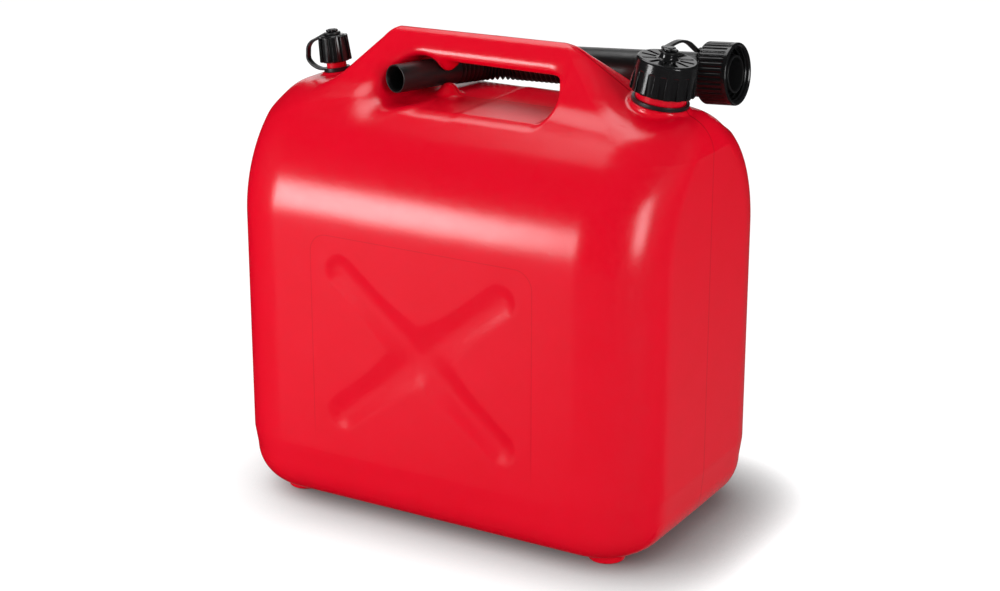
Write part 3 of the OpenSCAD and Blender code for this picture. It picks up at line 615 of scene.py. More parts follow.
def graded(*spans):
    """Grid lines through spans of (from, to, step), which follow each other."""
    out = [spans[0][0]]
    for a, b, step in spans:
        n = max(1, int(round((b - a) / step)))
        out.extend((a + (b - a) * (i + 1) / n) for i in range(n))
    return np.array(out)


def mirror(values):
    """Grid lines from 0 outwards, on both sides of it."""
    return np.concatenate([-values[::-1], values[1:]])


def new_object(name, data):
    ob = bpy.data.objects.new(name, data)
    bpy.context.scene.collection.objects.link(ob)
    return ob


def make(name, pos, faces, material, normals=None):
    """A mesh object from points in millimetres and four-sided faces."""
    me = bpy.data.meshes.new(name)
    pos = np.ascontiguousarray(pos, float) * MM
    faces = np.asarray(faces, np.int32)
    n, sides = faces.shape
    me.vertices.add(len(pos))
    me.vertices.foreach_set("co", pos.astype(np.float32).ravel())
    me.loops.add(n * sides)
    me.loops.foreach_set("vertex_index", faces.ravel())
    me.polygons.add(n)
    me.polygons.foreach_set("loop_start", np.arange(0, n * sides, sides, dtype=np.int32))
    me.update(calc_edges=True)
    me.validate()
    me.polygons.foreach_set("use_smooth", np.ones(len(me.polygons), bool))
    if normals is not None and len(me.vertices) == len(normals):
        me.normals_split_custom_set_from_vertices([tuple(v) for v in normals])
    me.materials.append(material)
    return new_object(name, me)


# Materials, with sizes in metres
PLASTIC_IOR = 1.5
BLOTCHES = 40.0
WAVES = 28.0


def nodes_of(name):
    m = bpy.data.materials.new(name)
    m.use_nodes = True
    t = m.node_tree
    return m, t, t.nodes["Principled BSDF"]


def math_node(t, op, a, b=None, c=None):
    """A Math node fed by sockets or plain numbers. Returns its output."""
    n = t.nodes.new("ShaderNodeMath")
    n.operation = op
    for k, v in enumerate((a, b, c)):
        if v is None:
            continue
        if isinstance(v, (int, float)):
            n.inputs[k].default_value = v
        else:
            t.links.new(v, n.inputs[k])
    return n.outputs[0]


def ranged(t, value, source, target, kind="LINEAR"):
    """A value carried from one range to another. Returns its output."""
    n = t.nodes.new("ShaderNodeMapRange")
    n.interpolation_type = kind
    for name, v in zip(("From Min", "From Max", "To Min", "To Max"), (*source, *target)):
        n.inputs[name].default_value = v
    t.links.new(value, n.inputs["Value"])
    return n.outputs["Result"]


def fade(t, value, lo, hi):
    """1 where value is under lo, 0 over hi, smooth between."""
    return ranged(t, value, (lo, hi), (1.0, 0.0), "SMOOTHSTEP")


def noise(t, co, scale, detail, roughness=0.5):
    """Noise in the object's own space. Returns its value."""
    n = t.nodes.new("ShaderNodeTexNoise")
    n.inputs["Scale"].default_value = scale
    n.inputs["Detail"].default_value = detail
    n.inputs["Roughness"].default_value = roughness
    t.links.new(co.outputs["Object"], n.inputs["Vector"])
    return n.outputs["Fac"]


def mixed(t, share, a, b):
    """A colour between a and b, each a socket or plain red, green and blue. Returns its output."""
    n = t.nodes.new("ShaderNodeMix")
    n.data_type = "RGBA"
    t.links.new(share, n.inputs[0])
    for k, v in ((6, a), (7, b)):
        if isinstance(v, tuple):
            n.inputs[k].default_value = (*v, 1.0)
        else:
            t.links.new(v, n.inputs[k])
    return n.outputs[2]


def bumped(t, height, distance, under=None):
    """A bump over the normal of the bump under it. Returns its node."""
    n = t.nodes.new("ShaderNodeBump")
    n.inputs["Strength"].default_value = 1.0
    n.inputs["Distance"].default_value = distance
    t.links.new(height, n.inputs["Height"])
    if under is not None:
        t.links.new(under.outputs["Normal"], n.inputs["Normal"])
    return n


def plastic(name, dark, light, rough, rough_var, grain, grain_height, wave=0.0):
    """Moulded plastic: slow colour drift, uneven gloss, a fine grain and, if wave is given, a wavy wall."""
    m, t, b = nodes_of(name)
    co = t.nodes.new("ShaderNodeTexCoord")
    t.links.new(mixed(t, noise(t, co, BLOTCHES, 3.0), dark, light), b.inputs["Base Color"])
    gloss = noise(t, co, BLOTCHES * 6.0, 2.0)
    gloss = ranged(t, gloss, (0.3, 0.7), (rough - rough_var, rough + rough_var))
    t.links.new(gloss, b.inputs["Roughness"])
    last = bumped(t, noise(t, co, 1.0 / grain, 2.0, 0.55), grain_height)
    if wave:
        last = bumped(t, noise(t, co, WAVES, 1.0), wave, last)
    t.links.new(last.outputs["Normal"], b.inputs["Normal"])
    b.inputs["IOR"].default_value = PLASTIC_IOR
    return m, t, b, last


RED, *RED_NODES = plastic(
    "red_polyethylene", (0.77, 0.0, 0.013), (0.81, 0.0, 0.018), 0.23, 0.03, 0.0011, 0.00006, wave=0.00025)


# The mould's lines, in metres
PANEL_HALF = 0.0925
PANEL_LOW = 0.040
PANEL_TOP = 0.2217
PANEL_R = 0.014
PANEL_SHARE = 0.35
GROOVE_DEPTH = 0.00006
PAINTED_SHADE_RED = (0.32, 0.0, 0.003)
GROOVE_SHADE = 0.7
PARTING_LINE = (0.0003, 0.0011)
PARTING_FAINT_TO = (0.30, 0.32)
PARTING_FAINT = 0.6
PANEL_LINE = (0.0001, 0.0006)
PANEL_FOOT = (0.058, 0.085)
FACE_Y = 0.106


def mould_lines(t, b, last):
    """The parting line in the can's middle plane and the line round each panel, as grooves, with painted
    shade that darkens the red along them.
    """
    co = t.nodes.new("ShaderNodeTexCoord")
    xyz = t.nodes.new("ShaderNodeSeparateXYZ")
    t.links.new(co.outputs["Object"], xyz.inputs[0])
    x, y, z = (math_node(t, "ABSOLUTE", xyz.outputs[k]) for k in range(3))
    high = math_node(t, "MULTIPLY_ADD", fade(t, z, *PARTING_FAINT_TO), -PARTING_FAINT, 1.0)
    parting = math_node(t, "MULTIPLY", fade(t, y, *PARTING_LINE), high)
    qx = math_node(t, "SUBTRACT", x, PANEL_HALF - PANEL_R)
    qz = math_node(t, "SUBTRACT", z, (PANEL_TOP + PANEL_LOW) / 2)
    qz = math_node(t, "SUBTRACT", math_node(t, "ABSOLUTE", qz), (PANEL_TOP - PANEL_LOW) / 2 - PANEL_R)
    ux, uz = math_node(t, "MAXIMUM", qx, 0.0), math_node(t, "MAXIMUM", qz, 0.0)
    square = math_node(t, "ADD", math_node(t, "MULTIPLY", ux, ux), math_node(t, "MULTIPLY", uz, uz))
    far = math_node(t, "SQRT", square)
    near = math_node(t, "MINIMUM", math_node(t, "MAXIMUM", qx, qz), 0.0)
    edge = math_node(t, "ABSOLUTE", math_node(t, "SUBTRACT", math_node(t, "ADD", far, near), PANEL_R))
    face = math_node(t, "SUBTRACT", math_node(t, "GREATER_THAN", y, FACE_Y), fade(t, z, *PANEL_FOOT))
    face = math_node(t, "MAXIMUM", face, 0.0)
    panel = math_node(t, "MULTIPLY", fade(t, edge, *PANEL_LINE), face)
    both = math_node(t, "ADD", parting, math_node(t, "MULTIPLY", panel, PANEL_SHARE))
    groove = bumped(t, both, GROOVE_DEPTH, last)
    groove.invert = True
    t.links.new(groove.outputs["Normal"], b.inputs["Normal"])
    colour = b.inputs["Base Color"].links[0].from_socket
    # Painted shade: the red is mixed towards a dark red along the grooves
    shaded = mixed(t, math_node(t, "MULTIPLY", both, GROOVE_SHADE), colour, PAINTED_SHADE_RED)
    t.links.new(shaded, b.inputs["Base Color"])


mould_lines(*RED_NODES)
CAP_BLACK, *_ = plastic(
    "cap_black", (0.0075, 0.0075, 0.008), (0.0115, 0.0115, 0.012), 0.17, 0.03, 0.0007, 0.000008)
SPOUT_BLACK, *_ = plastic(
    "spout_black", (0.0085, 0.0085, 0.009), (0.0125, 0.0125, 0.013), 0.36, 0.05, 0.0008, 0.00002)
TETHER_BLACK, *_ = plastic(
    "tether_black", (0.010, 0.010, 0.0105), (0.0145, 0.0145, 0.015), 0.36, 0.06, 0.0008, 0.00002)
SEAL, *_ = plastic(
    "seal_rubber", (0.022, 0.022, 0.022), (0.035, 0.035, 0.035), 0.7, 0.08, 0.0006, 0.00006)


# Small turned and swept pieces
def place(q, f):
    """Points of the frame f in the can's own frame."""
    return f[0] + q @ f[1].T


def quads(n, m, bands):
    """Faces between n rings of m points, for so many bands from the first ring on. Ring n is ring 0."""
    i, j = np.meshgrid(np.arange(bands), np.arange(m), indexing="ij")
    i2, j2 = (i + 1) % n, (j + 1) % m
    return np.stack([i * m + j, i * m + j2, i2 * m + j2, i2 * m + j], axis=2).reshape(-1, 4)


def lathe(profile, turns, f, axis=2, wobble=None):
    """A closed ring of revolution about a local axis. profile is a closed loop of (radius, place) points."""
    r = np.array([p[0] for p in profile])
    s = np.array([p[1] for p in profile])
    t = np.linspace(0, 2 * math.pi, turns, endpoint=False)
    rr = np.repeat(r[:, None], turns, axis=1)
    if wobble is not None:
        rr = rr + wobble(r[:, None], s[:, None], t[None, :])
    u, v = rr * np.cos(t), rr * np.sin(t)
    w = np.repeat(s[:, None], turns, axis=1)
    q = np.stack([u, v, w] if axis == 2 else [w, u, v], axis=2).reshape(-1, 3)
    n = len(profile)
    return place(q, f), quads(n, turns, n)


def rounded(points, radii, steps=5):
    """A closed outline with each corner rounded by its own radius, as a list of points."""
    out = []
    n = len(points)
    for k in range(n):
        p = np.array(points[k], float)
        a = np.array(points[k - 1], float) - p
        b = np.array(points[(k + 1) % n], float) - p
        la, lb = np.linalg.norm(a), np.linalg.norm(b)
        r = radii[k] if isinstance(radii, (list, tuple)) else radii
        a, b = a / la, b / lb
        half = math.acos(max(-1.0, min(1.0, float(a @ b)))) / 2
        cut = min(r / math.tan(half), 0.49 * la, 0.49 * lb) if half > 0.01 else 0.0
        if cut < 1e-3:
            out.append(tuple(p))
            continue
        for i in range(steps + 1):
            t = i / steps
            out.append(tuple(p + a * cut * (1 - t) ** 2 + b * cut * t ** 2))
    return out


def dense(profile, step):
    """The same outline with long straight runs cut up."""
    out = []
    for k, p in enumerate(profile):
        q = profile[(k + 1) % len(profile)]
        n = max(1, int(math.ceil(math.dist(p, q) / step)))
        out.extend((p[0] + (q[0] - p[0]) * i / n, p[1] + (q[1] - p[1]) * i / n) for i in range(n))
    return out


def outward(pos, faces):
    """Faces turned so that the closed surface's volume is positive."""
    a, b, c, d = (pos[faces[:, i]] for i in range(4))
    volume = (a * np.cross(b, c)).sum() + (a * np.cross(c, d)).sum()
    return faces if volume > 0 else faces[:, ::-1]


def add(name, pos, faces, material, body, node, normals=None):
    """A piece that replaces a node and rides on a body. Given two bodies and two points instead, it is only
    fixed where it is.
    """
    ob = make(name, pos, outward(pos, faces), material, normals)
    if isinstance(body, str):
        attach(ob, body)
    else:
        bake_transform(ob)
    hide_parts(node)


def add_field(name, field, lo, hi, step, f, material, body, node):
    """A piece from a distance field in the frame f."""
    axes = [np.arange(a - 1.5 * step, b + 2.5 * step, step) for a, b in zip(lo, hi)]
    pos, faces, n = nets(field, *axes, h=0.03)
    add(name, place(pos, f), faces, material, body, node, n @ f[1].T)


# The tank, on grid lines that lie closer where its forms are small
tank_xs = mirror(graded((0, 76, 2.2), (76, 112, 2.2), (112, 156, 2.15), (156, 179, 2.1)))
tank_ys = mirror(graded((0, 1.5, 0.5), (1.5, 36, 1.85), (36, 60, 2.0), (60, 113, 3.3)))
tank_zs = graded((-2, 8, 1.1), (8, 60, 2.8), (60, 205, 3.3), (205, 288, 2.8), (288, 360, 1.7))
pos, faces, normals = nets(tank_field, tank_xs, tank_ys, tank_zs)
add("tank_shell", pos, faces, RED, "can", "tank", normals)


def neck_thread(radius, neck_h, turns=2.0):
    """How far a neck's thread stands out at each place on it."""
    first = neck_h - THREAD_PITCH * (turns + 0.6)

    def out(r, s, t):
        rise = s - first - THREAD_PITCH * t / (2 * math.pi)
        lap = np.round(rise / THREAD_PITCH)
        off = np.abs(rise - lap * THREAD_PITCH)
        run = lap + t / (2 * math.pi)
        ends = np.clip(run * 8, 0, 1) * np.clip((turns - run) * 8, 0, 1)
        ridge = np.clip((THREAD_PITCH / 4 - off) / (THREAD_PITCH / 6), 0, 1)
        return np.where(np.abs(r - radius) < 0.01, THREAD_H * ends * ridge * ridge * (3 - 2 * ridge), 0.0)
    return out


def neck(name, f, d, bore, h):
    """A neck with its thread, rooted in the tank's wall."""
    r, b, root = d / 2, bore / 2, -14.0
    outline = rounded([(r, -2.0), (r, h), (b, h), (b, root), (b + 1.2, root)], 0.7)
    pos, faces = lathe(dense(outline, 0.3), 120, f, wobble=neck_thread(d / 2, h))
    add(name, pos, faces, RED, "can", "tank")


neck("filler_neck", FILLER_F, FILLER_NECK_D, FILLER_BORE, FILLER_NECK_H)
neck("vent_neck", VENT_F, VENT_NECK_D, VENT_BORE, VENT_NECK_H)


# Caps
EYE_D = STUD_D + 2 * FIT + 2 * EYE_WALL
LOBE_D = 0.95 * STUD_D
INNER_BORE = FILLER_NECK_D + 2 * THREAD_H + 2 * FIT
SHELL_BORE = INNER_BORE + 2 * INNER_WALL + 2 * FIT
INNER_TOP_AT = FILLER_NECK_H + GASKET_T + INNER_PLAY
SHELL_CEILING = INNER_TOP_AT + INNER_TOP + FIT
SHELL_TOP = SHELL_CEILING + CAP_TOP
EYE_AT = SHELL_TOP + FILLER_BOSS_H
VENT_CAP_BORE = VENT_NECK_D + 2 * THREAD_H + 2 * FIT
VENT_TOP = VENT_NECK_H + GASKET_T + VENT_CAP_TOP
VENT_EYE_AT = VENT_TOP + VENT_BOSS_H
FLUTE_H = 0.68 * (SHELL_TOP - CAP_GAP)


def disc(rho, s, r, lo, hi, edge):
    """A cylinder of radius r from lo to hi with rounded rims."""
    return round_box(rho - r, np.abs(s - (lo + hi) / 2) - (hi - lo) / 2, edge)


def stud_field(q, base, h, reach):
    """A boss, the stud on it and the stud's four-lobed head, which keeps the tether's eye on."""
    rho, s = np.hypot(q[:, 0], q[:, 1]), q[:, 2]
    boss = disc(rho, s, EYE_D / 2 - 0.15 * (s - base), base - 2, base + h, 0.5)
    top = base + h + EYE_T + EYE_PLAY
    d = smin(boss, disc(rho, s, STUD_D / 2, base, top + HEAD_H, 0.6), 0.5)
    ax, ay = np.abs(q[:, 0]), np.abs(q[:, 1])
    lobe = np.hypot(np.maximum(ax, ay) - reach * STUD_D, np.minimum(ax, ay)) - LOBE_D / 2
    lobe = smax(lobe, np.abs(s - top - HEAD_H / 2 + 0.25) - HEAD_H / 2 + 0.25, 0.7)
    return smin(d, lobe, 0.5)


def sector(q, count, turn):
    """Points turned into one of count equal sectors, as (out, across)."""
    t = np.arctan2(q[:, 1], q[:, 0])
    step = 2 * math.pi / count
    t = (t - turn * step + step / 2) % step - step / 2
    rho = np.hypot(q[:, 0], q[:, 1])
    return rho * np.cos(t), rho * np.sin(t)


def filler_cap_field(q):
    """A tapered shell with flutes round its skirt, slots and a stud on its top."""
    rho, s = np.hypot(q[:, 0], q[:, 1]), q[:, 2]
    d = disc(rho, s, CAP_SKIRT_R - CAP_TAPER * (s - CAP_GAP), CAP_GAP, SHELL_TOP, 1.6)
    out, across = sector(q, CAP_FLUTES, 0.0)
    flute = round_box(np.abs(across) - FLUTE_HALF, np.abs(s - CAP_GAP) - FLUTE_H, 1.4)
    d = smax(d, -smax(flute, FLUTE_R - rho, 0.4), 0.4)
    out, across = sector(q, CAP_SLOTS, 0.5)
    lo, hi = EYE_D / 2 + 2.4, SLOTS_END
    slot = round_box(np.abs(out - (lo + hi) / 2) - (hi - lo) / 2, np.abs(across) - SLOT_HALF, 0.6)
    d = smax(d, -smax(slot, SHELL_TOP - SLOT_DEPTH - s, 0.3), 0.4)
    d = smin(d, stud_field(q, SHELL_TOP, FILLER_BOSS_H, FILLER_LOBES), 1.8)
    bore = SHELL_BORE / 2 - 0.2
    d = np.maximum(d, -disc(rho, s, bore, CAP_GAP + 2.0, SHELL_CEILING, 0.3))
    return np.maximum(d, -disc(rho, s, INNER_BORE / 2, CAP_GAP - 3.0, CAP_GAP + 4.0, 0.3))


def vent_cap_field(q):
    """A small cap with straight ribs and a stud."""
    rho, s = np.hypot(q[:, 0], q[:, 1]), q[:, 2]
    tip = VENT_CAP_D / 2 - VENT_TAPER * (s - VENT_CAP_GAP)
    body = tip - VENT_RIB_H
    d = disc(rho, s, body, VENT_CAP_GAP, VENT_TOP, 0.9)
    out, across = sector(q, VENT_RIBS, 0.5)
    mid = (VENT_CAP_GAP + VENT_TOP) / 2
    half = (VENT_TOP - VENT_CAP_GAP) / 2 - 0.7
    rib = round_box(np.abs(across) - VENT_RIB_W / 2, np.abs(s - mid) - half, 0.5)
    rib = smax(rib, rho - tip, 0.8)
    rib = np.maximum(rib, body - 2.0 - rho)
    d = smin(d, rib, 0.5)
    d = smin(d, stud_field(q, VENT_TOP, VENT_BOSS_H, VENT_LOBES), 0.7)
    return np.maximum(d, -disc(rho, s, VENT_CAP_BORE / 2, VENT_CAP_GAP - 3.0, VENT_NECK_H + GASKET_T, 0.3))


HEAD_TOP = 3.8
cap_r, vent_r = CAP_SKIRT_R, VENT_CAP_D / 2
add_field("filler_cap", filler_cap_field,
          (-cap_r, -cap_r, CAP_GAP), (cap_r, cap_r, EYE_AT + HEAD_TOP), 0.45,
          CAP_F, CAP_BLACK, "filler_shell", "filler_cap_shell")
add_field("vent_cap_ribbed", vent_cap_field,
          (-vent_r, -vent_r, VENT_CAP_GAP), (vent_r, vent_r, VENT_EYE_AT + HEAD_TOP), 0.36,
          VENT_F, CAP_BLACK, "vent_closure", "vent_cap")


# Tethers
def ring(name, f, inner, outer, lo, hi, body, node):
    outline = rounded([(outer, lo), (outer, hi), (inner, hi), (inner, lo)], 0.5)
    pos, faces = lathe(outline, 72, f)
    add(name, pos, faces, TETHER_BLACK, body, node)


def band(name, route, across, body, node):
    """A flat strap with rounded edges along a smooth curve through the route's points."""
    route = np.asarray(route, float)
    across = np.asarray(across, float)
    steps = 14
    line = []
    for i in range(len(route) - 1):
        a, b = route[max(i - 1, 0)], route[i]
        c, d = route[i + 1], route[min(i + 2, len(route) - 1)]
        for k in range(steps):
            t = k / steps
            line.append(0.5 * (2 * b + (c - a) * t + (2 * a - 5 * b + 4 * c - d) * t ** 2
                               + (3 * b - a - 3 * c + d) * t ** 3))
    line.append(route[-1])
    line = np.array(line)
    way = np.gradient(line, axis=0)
    way /= np.linalg.norm(way, axis=1)[:, None]
    lift = np.cross(way, across)
    w, h = STRAP_W / 2, STRAP_T / 2
    section = rounded([(-w, -h), (w, -h), (w, h), (-w, h)], 0.55, steps=4)
    strips = [line[:, None] + u * across + v * lift[:, None] for u, v in section]
    pos = np.concatenate(strips, axis=1).reshape(-1, 3)
    m, n = len(section), len(line)
    faces = quads(n, m, n - 1)
    ends = []
    for row, flip in ((0, True), (n - 1, False)):
        centre = len(pos)
        pos = np.vstack([pos, line[row]])
        for j in range(0, m - 1, 2):
            q = [row * m + j, row * m + j + 1, row * m + (j + 2) % m, centre]
            ends.append(q[::-1] if flip else q)
    faces = np.vstack([faces, np.array(ends)])
    add(name, pos, faces, TETHER_BLACK, body, node)


def along(f, s, out):
    """A point in the can's middle plane at height s on an axis and out from it."""
    return f[0] + f[1] @ np.array([out, 0.0, s])


FILLER_RING_IN = FILLER_NECK_D / 2 + FIT
FILLER_RING_R = FILLER_RING_IN + RING_WALL
VENT_RING_IN = VENT_NECK_D / 2 + FIT
VENT_RING_R = VENT_RING_IN + RING_WALL
EYE_IN = STUD_D / 2 + FIT
ring("filler_ring", FILLER_F, FILLER_RING_IN, FILLER_RING_R, 0, RING_H, "can", "filler_strap_ring")
ring("vent_ring", VENT_F, VENT_RING_IN, VENT_RING_R, 0, RING_H, "can", "vent_strap_ring")
ring("filler_eye_ring", CAP_F, EYE_IN, EYE_D / 2, EYE_AT, EYE_AT + EYE_T,
     "filler_eye", "filler_strap_eye")
ring("vent_eye_ring", VENT_F, EYE_IN, EYE_D / 2, VENT_EYE_AT, VENT_EYE_AT + EYE_T,
     "vent_eye", "vent_strap_eye")

# The filler's strap runs from its ring round the stored tube, close behind the nut, and over to its eye
COLLAR_AT = COLLAR_REACH - COLLAR_LEN
COLLAR_X = SPOUT_AT[0] + COLLAR_AT * cosd(SPOUT_RISE) - COLLAR_D / 2 * sind(SPOUT_RISE)
FILLER_STRAP_X = COLLAR_X - STRAP_ROOM - STRAP_W / 2
STRAP_LOOP_R = TUBE_D / 2 + 2.4


def filler_level(f, s):
    """The height at the strap of a level s on the leaning filler axis."""
    mid = along(f, s, 0)
    return mid[2] - (FILLER_STRAP_X - mid[0]) * sind(FILLER_LEAN)


ring_z = filler_level(FILLER_F, RING_H / 2)
eye_z = filler_level(CAP_F, EYE_AT + EYE_T / 2)
tube_y = SPOUT_AT[1]
tube_z = SPOUT_AT[2] + (FILLER_STRAP_X - SPOUT_AT[0]) * tand(SPOUT_RISE)
filler_yz = [(FILLER_RING_R - 0.8, ring_z), (FILLER_RING_R + STRAP_W, ring_z)]
for a in range(-135, 106, 30):
    filler_yz.append((tube_y + STRAP_LOOP_R * cosd(a), tube_z + STRAP_LOOP_R * sind(a)))
filler_yz += [(0.66 * tube_y, eye_z - 2.8), (0.42 * tube_y, eye_z + 1.0)]
filler_yz += [(EYE_D / 2 + 3.0, eye_z + 0.6), (EYE_D / 2 - 1.2, eye_z)]
strap_low = (FILLER_STRAP_X * MM, 0.03, (ring_z + 2) * MM)
strap_high = (FILLER_STRAP_X * MM, 0.03, (eye_z - 1) * MM)
band("filler_tether", [(FILLER_STRAP_X, y, z) for y, z in filler_yz], (1, 0, 0),
     ("can", "filler_eye", strap_low, strap_high), "filler_strap")

# The vent's strap is a loop on the left, fuller below than above
VENT_LOOP_X = 11.5
VENT_LOOP_R = 13.0
VENT_LOOP_SAG = 3.5
VENT_LOOP_BELLY = 1.8
low = along(VENT_F, RING_H / 2, 0)
high = along(VENT_F, VENT_EYE_AT + EYE_T / 2, 0)
vent_mid = (RING_H + VENT_EYE_AT * 2 + EYE_T) / 4
half_up = vent_mid - RING_H / 2
vent_route = [along(VENT_F, RING_H / 2, -VENT_RING_R + 0.6)]
for a in range(165, 14, -25):
    up = half_up - VENT_LOOP_SAG * (a < 90)
    out = VENT_LOOP_X + (VENT_LOOP_R + VENT_LOOP_BELLY * (a > 90)) * sind(a)
    vent_route.append(along(VENT_F, vent_mid + up * cosd(a), -out))
vent_route.append(along(VENT_F, VENT_EYE_AT + EYE_T / 2, -EYE_D / 2 + 0.8))
band("vent_tether", vent_route, (0, 1, 0),
     ("can", "vent_eye", tuple((low + [0, 0, 2]) * MM), tuple((high - [0, 0, 1]) * MM)), "vent_strap")


# Spout
SPOUT_F = (SPOUT_AT, SPOUT_M)
FLANGE_AT = COLLAR_AT + COLLAR_BACK + FIT
SPIGOT_END = COLLAR_REACH - SPIGOT_INSET
nozzle_x, nozzle_y = NOZZLE_DIR
nozzle_axes = np.array([[nozzle_x, nozzle_y, 0.0], [-nozzle_y, nozzle_x, 0.0], [0.0, 0.0, 1.0]]).T
NOZZLE_F = (SPOUT_AT + SPOUT_M @ np.array([NOZZLE_END[0], NOZZLE_END[1], 0.0]), SPOUT_M @ nozzle_axes)

r, b = NOZZLE_D / 2, NOZZLE_D / 2 - NOZZLE_WALL
tip = NOZZLE_LEN
outline = rounded([(r, 0.0), (r, tip), (b + 0.7, tip), (b, tip - 3.0), (b, 0.0)], [0.2, 0.5, 0.35, 0.5, 0.2])
pos, faces = lathe(dense(outline, 4.0), 72, NOZZLE_F, axis=0)
add("nozzle_pipe", pos, faces, SPOUT_BLACK, "nozzle", "spout_nozzle")

r, b = TUBE_D / 2, TUBE_BORE / 2
s, c = SPIGOT_D / 2, SPIGOT_D / 2 - NOZZLE_WALL
flange_end = FLANGE_AT + FLANGE_T
outline = rounded([(r, BELLOWS_RUN), (r, FLANGE_AT), (FLANGE_D / 2, FLANGE_AT), (FLANGE_D / 2, flange_end),
                   (s, flange_end), (s, SPIGOT_END), (c, SPIGOT_END), (c, FLANGE_AT - 1.0),
                   (b, FLANGE_AT - 1.0), (b, BELLOWS_RUN)],
                  [0.2, 0.3, 0.4, 0.4, 0.3, 0.6, 0.5, 0.2, 0.2, 0.2])
pos, faces = lathe(dense(outline, 4.0), 80, SPOUT_F, axis=0)
add("rear_pipe", pos, faces, SPOUT_BLACK, "rear_tube", "spout_tube")


collar_r = COLLAR_D / 2 + COLLAR_SWELL


def collar_field(q):
    """The spout's nut: ribs outside, a thread inside and a hole for the tube."""
    a = q[:, 0]
    rho = np.hypot(q[:, 1], q[:, 2])
    t = np.arctan2(q[:, 2], q[:, 1])
    d = disc(rho, a, collar_r, COLLAR_AT, COLLAR_REACH, 1.6)
    ribbed = ramp(a, COLLAR_AT + 1.4, COLLAR_AT + 2.4)
    ribbed = ribbed * (1 - ramp(a, COLLAR_REACH - 4.6, COLLAR_REACH - 3.4))
    wave = 0.5 + 0.5 * np.cos(COLLAR_RIBS * t)
    d = d + 0.85 * wave ** 3 * ribbed
    bore = disc(rho, a, INNER_BORE / 2, COLLAR_AT + COLLAR_BACK, COLLAR_REACH + 5.0, 0.3)
    rise = a - (COLLAR_AT + 9.0) - THREAD_PITCH * t / (2 * math.pi)
    off = np.abs(rise - np.round(rise / THREAD_PITCH) * THREAD_PITCH)
    ridge = np.clip((THREAD_PITCH / 4 - off) / 0.7, 0, 1)
    span = ramp(a, COLLAR_AT + 6, COLLAR_AT + 8) * (1 - ramp(a, COLLAR_REACH - 4.0, COLLAR_REACH - 2.5))
    bore = bore + 0.9 * ridge * ridge * (3 - 2 * ridge) * span
    d = smax(d, -bore, 0.6)
    mouth = rho - INNER_BORE / 2 - (a - COLLAR_REACH + 1.2)
    d = smax(d, -mouth, 0.3)
    return np.maximum(d, TUBE_D / 2 + FIT - rho)


add_field("collar_nut", collar_field,
          (COLLAR_AT, -collar_r, -collar_r), (COLLAR_REACH, collar_r, collar_r), 0.42,
          SPOUT_F, CAP_BLACK, "collar", "spout_collar")


# Bellows: round ribs along the nozzle's line, the bend and the tube's line
BEND_LEN = SPOUT_R * math.radians(SPOUT_BEND)
BELLOWS_LEN = NOZZLE_RUN + BEND_LEN + BELLOWS_RUN


def bellows_line(u):
    """The middle of the bellows at a length u from the nozzle, and the direction across it."""
    if u < NOZZLE_RUN:
        c, a = NOZZLE_END - u * NOZZLE_DIR, SPOUT_BEND
    elif u < NOZZLE_RUN + BEND_LEN:
        a = SPOUT_BEND * (1 - (u - NOZZLE_RUN) / BEND_LEN)
        c = SPOUT_R * np.array([-sind(a), cosd(a) - 1])
    else:
        c, a = np.array([u - NOZZLE_RUN - BEND_LEN, 0.0]), 0.0
    return np.array([c[0], c[1], 0.0]), np.array([-sind(a), cosd(a), 0.0])


def bellows():
    per_rib, sides = 12, 72
    stations = BELLOWS_RIBS * per_rib
    t = np.arange(sides) * 2 * math.pi / sides
    rows = []
    for k in range(stations + 1):
        share = k / stations
        ridge = (BELLOWS_D1 * (1 - share) + BELLOWS_D2 * share) / 2
        crest = 0.5 - 0.5 * math.cos(2 * math.pi * k / per_rib)
        r = ridge - BELLOWS_GROOVE * (1 - crest ** 0.7)
        rows.append((BELLOWS_LEN * share, r))
    inside = 40
    for k in range(inside, -1, -1):
        share = k / inside
        rows.append((BELLOWS_LEN * share, (NOZZLE_D / 2 - NOZZLE_WALL) * (1 - share) + TUBE_BORE / 2 * share))
    pos = []
    for u, r in rows:
        c, side = bellows_line(u)
        pos.append(c + r * (np.cos(t)[:, None] * side + np.sin(t)[:, None] * np.array([0, 0, 1.0])))
    pos = place(np.concatenate(pos), SPOUT_F)
    n = len(rows)
    faces = quads(n, sides, n)
    start = place(np.append(NOZZLE_END - 12 * NOZZLE_DIR, 0.0)[None], SPOUT_F)[0]
    end = place(np.array([[12.0, 0.0, 0.0]]), SPOUT_F)[0]
    add("bellows_ribbed", pos, faces, SPOUT_BLACK,
        ("nozzle", "rear_tube", tuple(start * MM), tuple(end * MM)), "spout_bellows")


bellows()

# The solids' own nodes. Only the inner cap and the three gaskets aren't replaced by pieces above
SLOT_LOOKS = {
    "can": RED,
    "cap": CAP_BLACK,
    "nut": CAP_BLACK,
    "spout": SPOUT_BLACK,
    "tether": TETHER_BLACK,
    "seal": SEAL,
}
for name, ob in frame["nodes"].items():
    slot = next(s["material_slot"] for s in frame["record"]["subparts"] if s["node"] == name)
    ob.data.materials.clear()
    ob.data.materials.append(SLOT_LOOKS[slot])

# Camera at the photograph's place
cam_data = bpy.data.cameras.new("camera")
SENSOR_W = 36.0
PHOTO_W = 1000.0
FOCAL_PIXELS = 2225.49
cam_data.sensor_width = SENSOR_W
cam_data.sensor_fit = "HORIZONTAL"
cam_data.lens = FOCAL_PIXELS * SENSOR_W / PHOTO_W
cam_data.clip_end = 50.0
cam = new_object("camera", cam_data)
right = Vector((0.86279, 0.50556, 0.0))
up = Vector((-0.16328, 0.27866, 0.94641))
back = Vector((0.47846, -0.81655, 0.32298))
m = Matrix((right, up, back)).transposed().to_4x4()
m.translation = Vector((0.80539, -1.36909, 0.69921))
cam.matrix_world = m
bpy.context.scene.camera = cam


